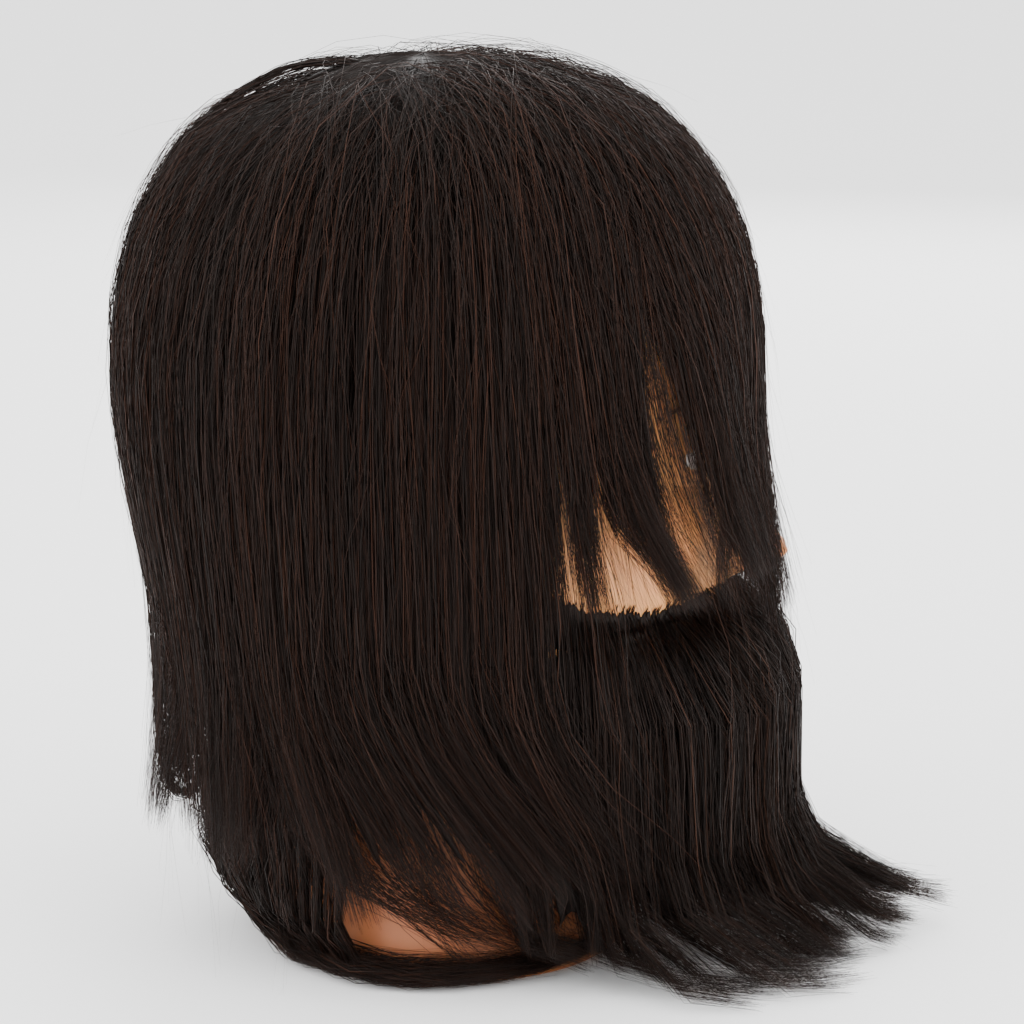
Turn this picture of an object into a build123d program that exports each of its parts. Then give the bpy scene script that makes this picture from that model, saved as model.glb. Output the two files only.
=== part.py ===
from build123d import *
import os
from math import cos, pi, radians, sin

# A hairdresser's training head: a soft vinyl head and neck over a foam core, with implanted hair
# and beard. Millimetres, +Z up. The origin is the middle of the clamp socket's mouth, level with
# the surface that the neck stands on. The face looks along -Y and the head's own left is +X.

# --- driving dimensions -------------------------------------------------------------------------
HEAD_TOP = 280.0  # crown of the vinyl head above the table
SKIN = 3.0  # wall of the vinyl head
HAIR_TOP = 289.0  # top of the hair above the table
HAIR_HEM = 42.0  # where the hanging hair ends, above the loose nape hair
WHORL_Y = 4.0  # Y of the crown's whorl, from which the hair is parted
FRINGE_ANGLE = 34.0  # degrees each side of straight ahead that the fringe takes
TEMPLE_ANGLE = 66.0  # degrees from straight ahead to the back of the temple hair
SIDE_ANGLE = 124.0  # degrees from straight ahead to the back of the side hair
FACE_EDGE = -35.0  # Y of the line where the hair stops and the beard starts, below the cheek
BEARD_LINE = 112.0  # Z where the beard starts on the cheek

SOCKET_BORE = 12.5  # radius of the clamp socket's bore
SOCKET_DEPTH = 60.0
SOCKET_WALL = 3.0
SOCKET_END = 4.0  # closed end of the socket
FLANGE_RADIUS = 30.0
FLANGE_THICK = 3.0
RIB_REACH = 24.0  # how far the ribs stand out from the socket's axis
RIB_THICK = 2.5
RIBS = 4

BASE_THICK = 4.0
SCREWS = 4
SCREW_CIRCLE = 24.0  # radius of the screw circle
SCREW_SHANK = 1.6
SCREW_HEAD = 3.2
SCREW_HEAD_DEEP = 2.0
SCREW_LONG = 12.0
SCREW_SUNK = 0.3  # how far the screw heads lie inside the plate
BOSS_RADIUS = 4.5
BOSS_HIGH = 11.0

EYE_RADIUS = 12.0
EYE_CENTRE = (31.5, -70.0, 163.0)
IRIS_RADIUS = 5.9
IRIS_THICK = 0.6
IRIS_RIM = 0.4  # ledge round the iris disc
CORNEA_RADIUS = 7.6
CORNEA_PROUD = 0.9
LASH_REACH = 4.0
LASH_THICK = 0.6
LASH_GAP = 0.15  # between the strip and the eyeball
LASH_HALF = 12.5  # half the length of a lash strip
LASH_RISE = 4.5  # height of the strip above the eye's middle
LASH_TILT = 14.0  # degrees

# centres and radii of the features, on the head's left where there are two
NOSE_BRIDGE = ((0.0, -93.5, 144.0), (7.0, 9.5, 25.0))
NOSE_SLOPE = -17.0  # degrees that the bridge leans
NOSE_TIP = ((0.0, -101.0, 127.5), (10.0, 10.0, 9.0))
NOSE_WING = ((10.5, -96.0, 124.5), (6.5, 8.5, 6.5))
UPPER_LIP = ((0.0, -88.5, 101.5), (24.0, 6.5, 4.2))
LOWER_LIP = ((0.0, -87.5, 94.0), (21.0, 7.0, 4.8))
EAR_SHELL = ((75.0, 14.0, 152.0), (8.5, 16.0, 29.0))
EAR_BOWL = ((84.0, 10.0, 150.0), (6.0, 9.0, 15.0))
EAR_TURN = (-12.0, 0.0, 14.0)  # degrees that the ear leans back and stands out
EYE_DISH = (17.0, 9.0, 11.0)  # radii of the dish round the eye
EYE_DISH_FORWARD = 14.5  # the dish's centre in front of the eye's

BIG = 600.0  # larger than the head, for cutting blocks
WEDGE_STEPS = 6  # straight runs along the far side of a parting wedge


# --- outlines and lofts -------------------------------------------------------------------------
def outline(z, front, back, half_width, squareness=2.0, points=24):
    """A level closed curve: two half super-ellipses that meet at the widest line."""
    middle = (front + back) / 2
    power = 2.0 / squareness
    curve = []
    for i in range(points):
        angle = 2 * pi * i / points
        s, c = sin(angle), cos(angle)
        x = half_width * (abs(s) ** power) * (1 if s >= 0 else -1)
        y = middle + (back - middle) * (abs(c) ** power) * (1 if c >= 0 else -1)
        curve.append((x, y, z))
    return Face(Wire([Edge.make_spline([Vector(*p) for p in curve], periodic=True)]))


def lofted(sections):
    """A smooth solid through level outlines, lowest first."""
    return Solid.make_loft([outline(*s).outer_wire() for s in sections])


def grown(sections, inset):
    """The same sections, each pulled in by inset all round; the last one comes down by it too."""
    last = len(sections) - 1
    pulled = []
    for i, (z, front, back, half_width, squareness) in enumerate(sections):
        pulled.append(
            (z - (inset if i == last else 0), front + inset, back - inset, half_width - inset, squareness)
        )
    return pulled


def ellipsoid(centre, radii):
    return Pos(*centre) * scale(Sphere(1), by=radii)


def slab(z_low, z_high):
    return Pos(0, 0, (z_low + z_high) / 2) * Box(BIG, BIG, z_high - z_low)


def between(x=(-BIG, BIG), y=(-BIG, BIG), z=(-BIG, BIG)):
    """A block between three pairs of limits."""
    middle = [(lo + hi) / 2 for lo, hi in (x, y, z)]
    size = [hi - lo for lo, hi in (x, y, z)]
    return Pos(*middle) * Box(*size)


def wedge(start, end):
    """A tall wedge about the whorl, between two angles from straight ahead, on the head's right."""
    corners = [(0.0, WHORL_Y)]
    for i in range(WEDGE_STEPS + 1):
        angle = radians(start + (end - start) * i / WEDGE_STEPS)
        corners.append((-BIG * sin(angle), WHORL_Y - BIG * cos(angle)))
    face = make_face(Polyline(*corners, close=True))
    return Pos(0, 0, -BIG / 2) * extrude(face, BIG * 1.5)


def mirrored(shape):
    """The same piece on the head's other side."""
    return mirror(shape, about=Plane.YZ)


# --- head form ----------------------------------------------------------------------------------
# height, front Y, back Y, half width, squareness
NECK = [
    (0.0, -60.0, 56.0, 60.0, 2.0),
    (14.0, -57.0, 53.0, 57.0, 2.0),
    (40.0, -50.0, 50.0, 52.0, 2.0),
    (70.0, -44.0, 54.0, 51.0, 2.0),
    (100.0, -38.0, 60.0, 51.0, 2.0),
    (128.0, -36.0, 60.0, 48.0, 2.0),
]
SKULL = [
    (57.5, -83.0, -62.0, 13.0, 2.0),
    (64.0, -89.0, -38.0, 29.0, 2.0),
    (76.0, -91.0, 4.0, 47.0, 2.0),
    (92.0, -90.0, 46.0, 59.0, 2.0),
    (112.0, -92.0, 72.0, 66.5, 2.05),
    (136.0, -92.0, 88.0, 71.0, 2.1),
    (160.0, -92.0, 94.5, 75.0, 2.2),
    (184.0, -95.5, 96.0, 77.5, 2.25),
    (208.0, -94.0, 92.5, 77.0, 2.25),
    (230.0, -85.0, 82.0, 69.5, 2.2),
    (250.0, -67.0, 64.0, 55.0, 2.1),
    (267.0, -43.0, 41.0, 36.0, 2.0),
    (HEAD_TOP, -12.0, 12.0, 11.0, 2.0),
]


def head_form(inset=0.0):
    return lofted(grown(NECK, inset)) + lofted(grown(SKULL, inset))


def nose():
    centre, radii = NOSE_BRIDGE
    bridge = Pos(*centre) * Rot(NOSE_SLOPE, 0, 0) * scale(Sphere(1), by=radii)
    wing = ellipsoid(*NOSE_WING)
    return bridge + ellipsoid(*NOSE_TIP) + wing + mirrored(wing)


def lips():
    return ellipsoid(*UPPER_LIP) + ellipsoid(*LOWER_LIP)


def ear():
    """The left ear: a leaning shell with the bowl taken out of its outer face."""
    shell_centre, shell_radii = EAR_SHELL
    bowl_centre, bowl_radii = EAR_BOWL
    shell = Pos(*shell_centre) * Rot(*EAR_TURN) * scale(Sphere(1), by=shell_radii)
    bowl = Pos(*bowl_centre) * Rot(*EAR_TURN) * scale(Sphere(1), by=bowl_radii)
    return shell - bowl


def eye_hollow():
    """The dish between brow and cheek that lets the eye show, and the round seat behind it."""
    x, y, z = EYE_CENTRE
    dish = ellipsoid((x, y - EYE_DISH_FORWARD, z), EYE_DISH)
    return dish + Pos(x, y, z) * Sphere(EYE_RADIUS)


# --- eyes ---------------------------------------------------------------------------------------
def eye_parts():
    """Eyeball, iris disc, clear cornea and lash strip of the left eye."""
    x, y, z = EYE_CENTRE
    ball = Pos(x, y, z) * Sphere(EYE_RADIUS)
    seat_y = y - (EYE_RADIUS**2 - IRIS_RADIUS**2) ** 0.5
    front_of_seat = between(y=(-BIG, seat_y))
    iris = Pos(x, seat_y + IRIS_THICK / 2, z) * Rot(90, 0, 0) * Cylinder(IRIS_RADIUS - IRIS_RIM, IRIS_THICK)
    dome_y = y - EYE_RADIUS - CORNEA_PROUD + CORNEA_RADIUS
    cornea = (Pos(x, dome_y, z) * Sphere(CORNEA_RADIUS)) & front_of_seat
    white = ball - front_of_seat - iris
    ring = Cylinder(EYE_RADIUS + LASH_REACH, LASH_THICK) - Cylinder(EYE_RADIUS + LASH_GAP, 2 * LASH_THICK)
    strip = Pos(x, y, z + LASH_RISE) * Rot(LASH_TILT, 0, 0) * ring
    lashes = strip & between(x=(x - LASH_HALF, x + LASH_HALF), y=(-BIG, seat_y))
    return white, iris, cornea, lashes - ball - cornea


# --- neck fittings ------------------------------------------------------------------------------
def screw_places():
    return [radians(45 + 360 * i / SCREWS) for i in range(SCREWS)]


def at_screw(angle, z):
    return Pos(SCREW_CIRCLE * cos(angle), SCREW_CIRCLE * sin(angle), z)


def clamp_socket():
    """A blind tube for the clamp's post, with a flange, screw bosses and ribs that key it into the foam."""
    outer = SOCKET_BORE + SOCKET_WALL
    tall = SOCKET_DEPTH + SOCKET_END
    body = Pos(0, 0, tall / 2) * Cylinder(outer, tall)
    body += Pos(0, 0, BASE_THICK + FLANGE_THICK / 2) * Cylinder(FLANGE_RADIUS, FLANGE_THICK)
    rib_high = SOCKET_DEPTH - BASE_THICK
    for i in range(RIBS):
        rib = Pos(RIB_REACH / 2, 0, BASE_THICK + rib_high / 2) * Box(RIB_REACH, RIB_THICK, rib_high)
        body += Rot(0, 0, 360 * i / RIBS) * rib
    for angle in screw_places():
        body += at_screw(angle, BASE_THICK + BOSS_HIGH / 2) * Cylinder(BOSS_RADIUS, BOSS_HIGH)
    return body - Pos(0, 0, SOCKET_DEPTH / 2) * Cylinder(SOCKET_BORE, SOCKET_DEPTH)


def base_screw(angle):
    """A countersunk screw, head down in the base plate."""
    head = Pos(0, 0, SCREW_HEAD_DEEP / 2) * Cone(SCREW_HEAD, SCREW_SHANK, SCREW_HEAD_DEEP)
    shank_long = SCREW_LONG - SCREW_HEAD_DEEP
    shank = Pos(0, 0, SCREW_HEAD_DEEP + shank_long / 2) * Cylinder(SCREW_SHANK, shank_long)
    return at_screw(angle, SCREW_SUNK) * (head + shank)


def base_plate(inner_form, screws):
    plate = inner_form & slab(0, BASE_THICK)
    plate -= Pos(0, 0, BASE_THICK / 2) * Cylinder(SOCKET_BORE + SOCKET_WALL, BASE_THICK)
    for angle in screw_places():
        plate -= at_screw(angle, SCREW_SUNK / 2) * Cylinder(SCREW_HEAD, SCREW_SUNK)
    for screw in screws:
        plate -= screw
    return plate


# --- hair and beard -----------------------------------------------------------------------------
HAIR = [
    (HAIR_HEM, -106.0, 91.0, 83.0, 2.2),
    (75.0, -108.0, 90.0, 86.0, 2.2),
    (BEARD_LINE, -110.0, 92.5, 90.0, 2.2),
    (150.0, -107.0, 101.0, 92.0, 2.2),
    (176.0, -103.5, 104.0, 92.0, 2.2),
    (204.0, -100.5, 106.5, 90.0, 2.2),
    (233.0, -95.5, 99.5, 84.0, 2.15),
    (254.0, -83.0, 86.0, 72.0, 2.1),
    (272.0, -64.0, 65.0, 55.0, 2.0),
    (283.0, -44.0, 45.0, 37.0, 2.0),
    (HAIR_TOP, -14.0, 14.0, 12.0, 2.0),
]
NAPE = [
    (0.6, -78.0, 60.0, 74.0, 2.0),
    (12.0, -80.0, 66.0, 75.0, 2.0),
    (HAIR_HEM, -86.0, 78.0, 76.0, 2.0),
]
BEARD = [
    (0.6, -154.0, 50.0, 88.0, 2.0),
    (9.0, -150.0, 48.0, 86.0, 2.0),
    (24.0, -128.0, 40.0, 80.0, 2.0),
    (44.0, -114.0, 36.0, 76.0, 2.1),
    (74.0, -115.0, 40.0, 77.0, 2.1),
    (96.0, -113.0, 44.0, 80.0, 2.1),
    (BEARD_LINE, -106.0, 46.0, 82.0, 2.1),
]
CHIN_HALF = 27.0  # half width of the chin beard
MOUSTACHE_LOBE = ((13.0, -92.0, 111.5), (19.0, 13.0, 7.0))
MOUSTACHE_HALF = 30.0
MOUSTACHE_BACK = -80.0
MOUSTACHE_LOW = 104.0
MOUSTACHE_TOP = 119.0
FRINGE_HEM = 119.0  # Z where the hair in front of the face ends
BROW_CENTRE = (31.0, -84.5, 180.0)
BROW_RADII = (19.0, 8.5, 4.0)


def hair_parts(solid_head):
    """The hair, parted into wedges about the whorl; the front ones stop above the beard."""
    mass = lofted(HAIR) - solid_head
    over_beard = between(y=(-BIG, FACE_EDGE), z=(-BIG, FRINGE_HEM))
    front = mass - over_beard
    temple = front & wedge(FRINGE_ANGLE, TEMPLE_ANGLE)
    side = front & wedge(TEMPLE_ANGLE, SIDE_ANGLE)
    nape = (lofted(NAPE) - solid_head) & between(y=(FACE_EDGE, BIG))
    return {
        "hair_fringe": front & wedge(-FRINGE_ANGLE, FRINGE_ANGLE),
        "hair_temple_right": temple,
        "hair_temple_left": mirrored(temple),
        "hair_side_right": side,
        "hair_side_left": mirrored(side),
        "hair_back": mass & wedge(SIDE_ANGLE, 360 - SIDE_ANGLE),
        "hair_nape": nape,
    }


def moustache_half(solid_head):
    """The left half of the moustache, on the upper lip."""
    limits = between(x=(0, MOUSTACHE_HALF), y=(-BIG, MOUSTACHE_BACK), z=(MOUSTACHE_LOW, MOUSTACHE_TOP))
    return (ellipsoid(*MOUSTACHE_LOBE) - solid_head) & limits


def beard_parts(solid_head, moustache):
    mass = (lofted(BEARD) - solid_head) & between(y=(-BIG, FACE_EDGE))
    mass = mass - moustache - mirrored(moustache)
    return {
        "beard_right": mass & between(x=(-BIG, -CHIN_HALF)),
        "beard_left": mass & between(x=(CHIN_HALF, BIG)),
        "beard_chin": mass & between(x=(-CHIN_HALF, CHIN_HALF)),
    }


# --- assembly -----------------------------------------------------------------------------------
def build():
    outer = head_form()
    inner = head_form(SKIN)
    one_ear = ear()
    features = nose() + lips() + one_ear + mirrored(one_ear)
    hollow = eye_hollow()
    hollows = hollow + mirrored(hollow)

    skin = outer + features - inner - hollows
    white, iris, cornea, lashes = eye_parts()
    lashes = lashes - skin
    socket = clamp_socket()
    screws = [base_screw(a) for a in screw_places()]
    plate = base_plate(inner, screws)
    foam = inner - slab(-1, BASE_THICK) - socket - hollows
    for screw in screws:
        socket -= screw
    foam -= Pos(0, 0, SOCKET_DEPTH / 2) * Cylinder(SOCKET_BORE, SOCKET_DEPTH)

    solid_head = outer + features
    brow = ellipsoid(BROW_CENTRE, BROW_RADII) - solid_head
    under_hair = solid_head
    for piece in (brow, white, cornea, lashes):
        under_hair = under_hair + piece + mirrored(piece)
    hair = hair_parts(under_hair)
    moustache = moustache_half(solid_head)
    beard = beard_parts(solid_head, moustache)

    parts = {
        "head_skin": skin,
        "foam_core": foam,
        "clamp_socket": socket,
        "base_plate": plate,
        "base_screws": Compound(children=screws),
        **hair,
        **beard,
        "moustache_left": moustache,
        "moustache_right": mirrored(moustache),
        "eyebrow_left": brow,
        "eyebrow_right": mirrored(brow),
    }
    for name, piece in (("eye_white", white), ("iris", iris), ("cornea", cornea), ("eyelashes", lashes)):
        parts[name + "_left"] = piece
        parts[name + "_right"] = mirrored(piece)
    return parts


os.makedirs("parts", exist_ok=True)
for name, piece in build().items():
    export_step(piece, f"parts/{name}.step")
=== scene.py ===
"""A hairdresser's training head: soft vinyl head and neck with long dark implanted hair and a long beard.

The head stands on its neck base. It looks along -Y, and its own right side is -X. The shapes are worked
out in millimetres and put into their meshes in metres.
"""

import bpy
import numpy as np
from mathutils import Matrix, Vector


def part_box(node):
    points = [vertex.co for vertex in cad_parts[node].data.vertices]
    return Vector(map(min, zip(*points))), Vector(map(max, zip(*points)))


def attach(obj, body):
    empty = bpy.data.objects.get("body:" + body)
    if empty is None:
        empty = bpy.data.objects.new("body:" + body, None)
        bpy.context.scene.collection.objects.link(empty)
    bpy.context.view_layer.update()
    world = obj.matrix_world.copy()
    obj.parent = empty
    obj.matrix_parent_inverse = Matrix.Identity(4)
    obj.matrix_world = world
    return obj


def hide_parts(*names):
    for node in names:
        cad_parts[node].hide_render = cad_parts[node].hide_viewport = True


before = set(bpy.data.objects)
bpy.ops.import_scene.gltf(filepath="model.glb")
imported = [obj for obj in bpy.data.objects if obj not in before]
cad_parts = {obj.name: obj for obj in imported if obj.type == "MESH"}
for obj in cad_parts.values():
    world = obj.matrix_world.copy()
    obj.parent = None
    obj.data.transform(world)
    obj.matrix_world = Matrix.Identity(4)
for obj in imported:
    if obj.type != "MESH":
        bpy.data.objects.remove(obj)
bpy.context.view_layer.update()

# ==== Camera, floor and lights ====================================================================
# A long lens looks at the head's right side from a little above. The head stands on a plain pale
# sweep, lit by a large soft box overhead and two soft side lights.
CAMERA_ELEVATION = np.radians(13.0)
CAMERA_DISTANCE = 1.12
CAMERA_LENS = 123.0
CAMERA_TARGET = Vector((0.0, -0.0235, 0.1370))
FLOOR_HALF = 9.0
SKY_STRENGTH = 2.4
LIGHTS = {
    # name: (place, width, watts)
    "overhead_box": ((-0.15, 0.05, 1.25), 0.9, 8.0),
    "front_panel": ((-0.9, -1.3, 0.7), 1.0, 14.0),
    "back_panel": ((-0.8, 1.3, 0.8), 1.0, 13.0),
    "far_panel": ((1.4, -0.3, 0.8), 1.1, 14.0),
}


def new_material(name):
    """A node material and its Principled shader."""
    material = bpy.data.materials.new(name)
    material.use_nodes = True
    return material, material.node_tree.nodes["Principled BSDF"]


def feed(material, node, sockets):
    """Links each input, found by name or number, to an output, or gives it a value of its own."""
    for key, value in sockets.items():
        if isinstance(value, bpy.types.NodeSocket):
            material.node_tree.links.new(value, node.inputs[key])
        else:
            node.inputs[key].default_value = value


camera_data = bpy.data.cameras.new("studio_camera")
camera_data.lens = CAMERA_LENS
camera_data.clip_end = 20.0
camera = bpy.data.objects.new("studio_camera", camera_data)
back = Vector((-np.cos(CAMERA_ELEVATION), 0.0, np.sin(CAMERA_ELEVATION)))
camera.location = CAMERA_TARGET + CAMERA_DISTANCE * back
camera.rotation_euler = back.to_track_quat("Z", "Y").to_euler()
bpy.context.collection.objects.link(camera)
bpy.context.scene.camera = camera

floor_mesh = bpy.data.meshes.new("floor")
corners = [(x * FLOOR_HALF, y * FLOOR_HALF, 0.0) for x, y in ((-1, -1), (1, -1), (1, 1), (-1, 1))]
floor_mesh.from_pydata(corners, [], [(0, 1, 2, 3)])
floor = bpy.data.objects.new("floor", floor_mesh)
bpy.context.collection.objects.link(floor)
floor_material, floor_shader = new_material("pale_sweep")
feed(floor_material, floor_shader, {"Roughness": 0.9, "Base Color": (0.96, 0.96, 0.96, 1.0)})
floor_mesh.materials.append(floor_material)

world = bpy.data.worlds.new("studio")
world.use_nodes = True
feed(world, world.node_tree.nodes["Background"], {"Color": (1.0, 1.0, 1.0, 1.0), "Strength": SKY_STRENGTH})
bpy.context.scene.world = world

for name, (place, width, watts) in LIGHTS.items():
    light = bpy.data.lights.new(name, "AREA")
    light.size = width
    light.energy = watts
    holder = bpy.data.objects.new(name, light)
    holder.location = place
    holder.rotation_euler = (Vector(place) - CAMERA_TARGET).to_track_quat("Z", "Y").to_euler()
    bpy.context.collection.objects.link(holder)


# ==== Head skin ===================================================================================
# The head and neck are one slush-moulded shell of soft peach vinyl, about 3 mm thick, with the face
# and both ears moulded in. Its lower rim stands on the table.
SKIN_WALL = 2.9
HEAD_SQUARENESS = 2.15
# Each ring round the head, from crown to rim: front Y and Z, side X and Z, back Y and Z, and how
# much the ring narrows towards the front.
HEAD_RINGS = np.array([
    (-1.0, 280.2, 1.0, 280.2, 3.0, 280.2, 0.00),  # crown
    (-16.0, 278.8, 14.0, 278.8, 16.0, 278.6, 0.00),
    (-43.0, 268.5, 36.5, 267.0, 42.0, 265.5, 0.00),
    (-67.5, 251.0, 55.0, 250.0, 64.5, 248.0, 0.02),
    (-85.5, 230.0, 69.5, 230.0, 82.5, 227.0, 0.04),
    (-94.0, 207.0, 77.0, 208.0, 93.0, 204.0, 0.06),
    (-95.0, 184.0, 77.5, 186.0, 96.0, 181.0, 0.08),  # brow
    (-92.0, 163.0, 75.0, 166.0, 94.0, 159.0, 0.08),  # eyes
    (-91.5, 142.0, 71.5, 149.0, 87.5, 140.0, 0.10),
    (-91.0, 122.0, 67.5, 133.0, 79.0, 126.0, 0.16),  # base of the nose
    (-90.0, 104.0, 62.0, 118.0, 71.0, 115.0, 0.22),
    (-88.5, 86.0, 56.5, 104.0, 65.0, 106.0, 0.26),  # under the lips
    (-86.5, 70.0, 52.0, 92.0, 61.0, 98.0, 0.24),  # chin
    (-78.0, 59.5, 49.0, 82.0, 58.0, 90.0, 0.16),
    (-61.0, 57.5, 48.5, 74.0, 55.5, 82.0, 0.05),  # under the jaw
    (-48.0, 57.0, 50.0, 65.0, 53.0, 70.0, 0.00),  # throat
    (-48.5, 44.0, 51.5, 47.0, 50.5, 48.0, 0.00),
    (-53.0, 26.0, 54.0, 27.0, 51.5, 27.0, 0.00),
    (-57.5, 12.0, 57.5, 12.0, 53.5, 12.0, 0.00),
    (-60.0, 0.0, 60.0, 0.0, 56.0, 0.0, 0.00),  # rim
])
FACE_FIRST_RING = 5
FACE_LAST_RING = 13
RING_POINTS = 232
RINGS_ABOVE, RINGS_OF_FACE, RINGS_BELOW, RINGS_INSIDE = 34, 168, 40, 30
CROWDING = 1.45  # crowds the points of a ring together in front
CROWN = (0.0, 1.0, 280.3)
THINNED_FROM, THINNED_OVER = 180.0, 80.0  # heights over which the inside is lowered at the crown
EYE_LOW, EYE_HIGH = (np.array(corner) * 1000.0 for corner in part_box("eye_white_left"))
EYE_BALL = (EYE_HIGH[2] - EYE_LOW[2]) / 2
EYE_X = (EYE_LOW[0] + EYE_HIGH[0]) / 2
EYE_Z = (EYE_LOW[2] + EYE_HIGH[2]) / 2
EYE_Y = EYE_HIGH[1] - EYE_BALL
LID_THICK = 1.1
LID_HALF_WIDTH = 14.5
LID_HALF_OPEN = 4.6
NOSE_TIP_Z = 127.0
NOSE_ROOT_Z = 172.0
NOSE_REACH = 18.5
MOUTH_Z = 97.5
# Each soft swelling or hollow of the face: half-way X, Z, spread in X, spread in Z, and how far
# forward it stands; a pair is made wherever X isn't zero.
FACE_FORMS = [
    (23.0, 182.0, 17.0, 6.0, 2.6),  # brow ridge
    (0.0, 173.0, 9.0, 7.0, -2.4),  # root of the nose
    (31.0, 163.0, 15.0, 10.0, -7.0),  # eye socket
    (44.0, 142.0, 15.0, 12.0, 3.2),  # cheekbone
    (10.3, 124.3, 4.6, 4.6, 8.4),  # wing of the nose
    (5.6, 119.6, 2.4, 1.9, -4.2),  # nostril
    (13.5, 134.0, 4.5, 9.0, -1.6),  # side of the nose
    (0.0, 110.5, 2.3, 5.0, -1.3),  # groove of the upper lip
    (5.2, 103.8, 6.0, 2.4, 2.5),  # bow of the upper lip
    (0.0, 101.6, 17.0, 3.2, 3.8),  # upper lip
    (0.0, 93.2, 14.5, 3.6, 5.0),  # lower lip
    (0.0, MOUTH_Z, 21.0, 1.1, -3.6),  # line between the lips
    (25.0, MOUTH_Z - 0.5, 4.0, 3.5, -2.4),  # corner of the mouth
    (0.0, 84.5, 17.0, 4.0, -3.2),  # hollow above the chin
    (0.0, 70.0, 15.0, 10.0, 3.4),  # chin
    (30.0, 108.0, 7.0, 12.0, -1.2),  # fold beside the mouth
]
EAR_CENTRE = (69.5, 13.0, 151.0)
EAR_HALF_HIGH = 31.0
EAR_HALF_WIDE = 17.5
EAR_FLARE = 0.20
EAR_TILT = np.radians(12.0)
SKIN_COLOURS = ((0.62, 0.25, 0.080, 1.0), (0.74, 0.34, 0.125, 1.0))
BLUSH_COLOUR = (0.64, 0.21, 0.080, 1.0)
LIP_COLOUR = (0.50, 0.13, 0.08, 1.0)
# Painted shade: a darker, deeper orange mixed into the skin low on the neck, where the hair shades it
NECK_SHADE_COLOUR = (0.33, 0.085, 0.025, 1.0)
SKIN_PATCHES = [
    # centre, half sizes, colour, strength
    ((50.0, 74.0, 136.0), (24.0, 30.0, 18.0), BLUSH_COLOUR, 0.25),  # cheeks
    ((0.0, 106.0, 126.0), (16.0, 14.0, 11.0), BLUSH_COLOUR, 0.5),  # nose
    ((0.0, 92.0, 97.5), (25.0, 16.0, 8.6), LIP_COLOUR, 0.75),
    ((0.0, 0.0, 15.0), (92.0, 92.0, 70.0), NECK_SHADE_COLOUR, 0.85),  # painted shade low on the neck, where the hair shades it
]


def smoothstep(value):
    """3t squared minus 2t cubed, with t held between 0 and 1."""
    t = np.clip(value, 0.0, 1.0)
    return t * t * (3.0 - 2.0 * t)


def rising(value, start, length):
    """Smoothstep that rises from 0 at a start to 1 a length further on."""
    return smoothstep((value - start) / length)


def along(table, place):
    """Catmull-Rom curve through the table's lines, read at fractional line numbers."""
    last = len(table) - 1
    line = np.clip(np.floor(place).astype(int), 0, last - 1)
    t = (place - line).reshape(place.shape + (1,) * (table.ndim - 1))
    before, start, end, after = (table[np.clip(line + step, 0, last)] for step in (-1, 0, 1, 2))
    bend = 2.0 * before - 5.0 * start + 4.0 * end - after
    twist = 3.0 * (start - end) + after - before
    return 0.5 * (2.0 * start + (end - before) * t + bend * t**2 + twist * t**3)


def signed_power(value, power):
    return np.sign(value) * np.abs(value) ** power


def head_point(turn, ring, inset=0.0):
    """A point of the bare head form. Each ring is a super-ellipse through its front, side and back
    points; turn is the angle from straight ahead towards the head's right."""
    front_y, front_z, side_x, side_z, back_y, back_z, narrow = np.moveaxis(along(HEAD_RINGS, ring), -1, 0)
    ahead = np.cos(turn)
    to_front = np.maximum(ahead, 0.0)
    to_back = np.maximum(-ahead, 0.0)
    power = 2.0 / HEAD_SQUARENESS
    x = -(side_x - inset) * signed_power(np.sin(turn), power) * (1.0 - narrow * to_front**1.5)
    half_deep = (back_y - front_y) / 2 - inset
    y = (front_y + back_y) / 2 - half_deep * signed_power(ahead, power)
    z = side_z + (front_z - side_z) * to_front**1.3 + (back_z - side_z) * to_back**1.3
    return np.stack([x, y, z], axis=-1)


def bell(x, z, centre_x, centre_z, spread_x, spread_z):
    """e to the minus half the squared distance, counted in spreads."""
    return np.exp(-0.5 * (((x - centre_x) / spread_x) ** 2 + ((z - centre_z) / spread_z) ** 2))


def with_face(points):
    """The head form with its face. Bell-shaped swellings and hollows and a wedge-shaped nose stand
    forward of it, and each eyelid follows a ball a little larger than the eye, open in an almond."""
    x, y, z = np.moveaxis(points, -1, 0)
    facing = smoothstep((-30.0 - y) / 30.0)
    forward = np.zeros_like(x)
    for centre_x, centre_z, spread_x, spread_z, reach in FACE_FORMS:
        forward += reach * bell(x, z, centre_x, centre_z, spread_x, spread_z)
        if centre_x > 0:
            forward += reach * bell(x, z, -centre_x, centre_z, spread_x, spread_z)
    down_nose = np.clip((NOSE_ROOT_Z - z) / (NOSE_ROOT_Z - NOSE_TIP_Z), 0.0, 1.0)
    under_nose = smoothstep((z - (NOSE_TIP_Z - 9.5)) / 8.5)
    half_width = 5.6 + 4.2 * down_nose**3
    ridge = np.exp(-0.5 * np.abs(x / half_width) ** 2.4)
    forward += NOSE_REACH * down_nose**1.15 * under_nose * ridge
    y = y - forward * facing
    for side in (-1.0, 1.0):
        across = x - side * EYE_X
        up = z - EYE_Z
        lid = EYE_BALL + LID_THICK
        ball = np.sqrt(np.maximum(lid**2 - across**2 - up**2, 0.0))
        lid_y = EYE_Y - ball
        over_ball = (across**2 + up**2 < lid**2) & (y < EYE_Y)
        y = np.where(over_ball, np.minimum(y, lid_y), y)
        half_open = LID_HALF_OPEN * (1.0 - (across / LID_HALF_WIDTH) ** 2)
        opening = (np.abs(up + 0.4) < half_open) & (np.abs(across) < LID_HALF_WIDTH - 3.0) & (y < EYE_Y)
        y = np.where(opening, EYE_Y - 0.80 * ball, y)
    return np.stack([x, y, z], axis=-1)


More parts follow.
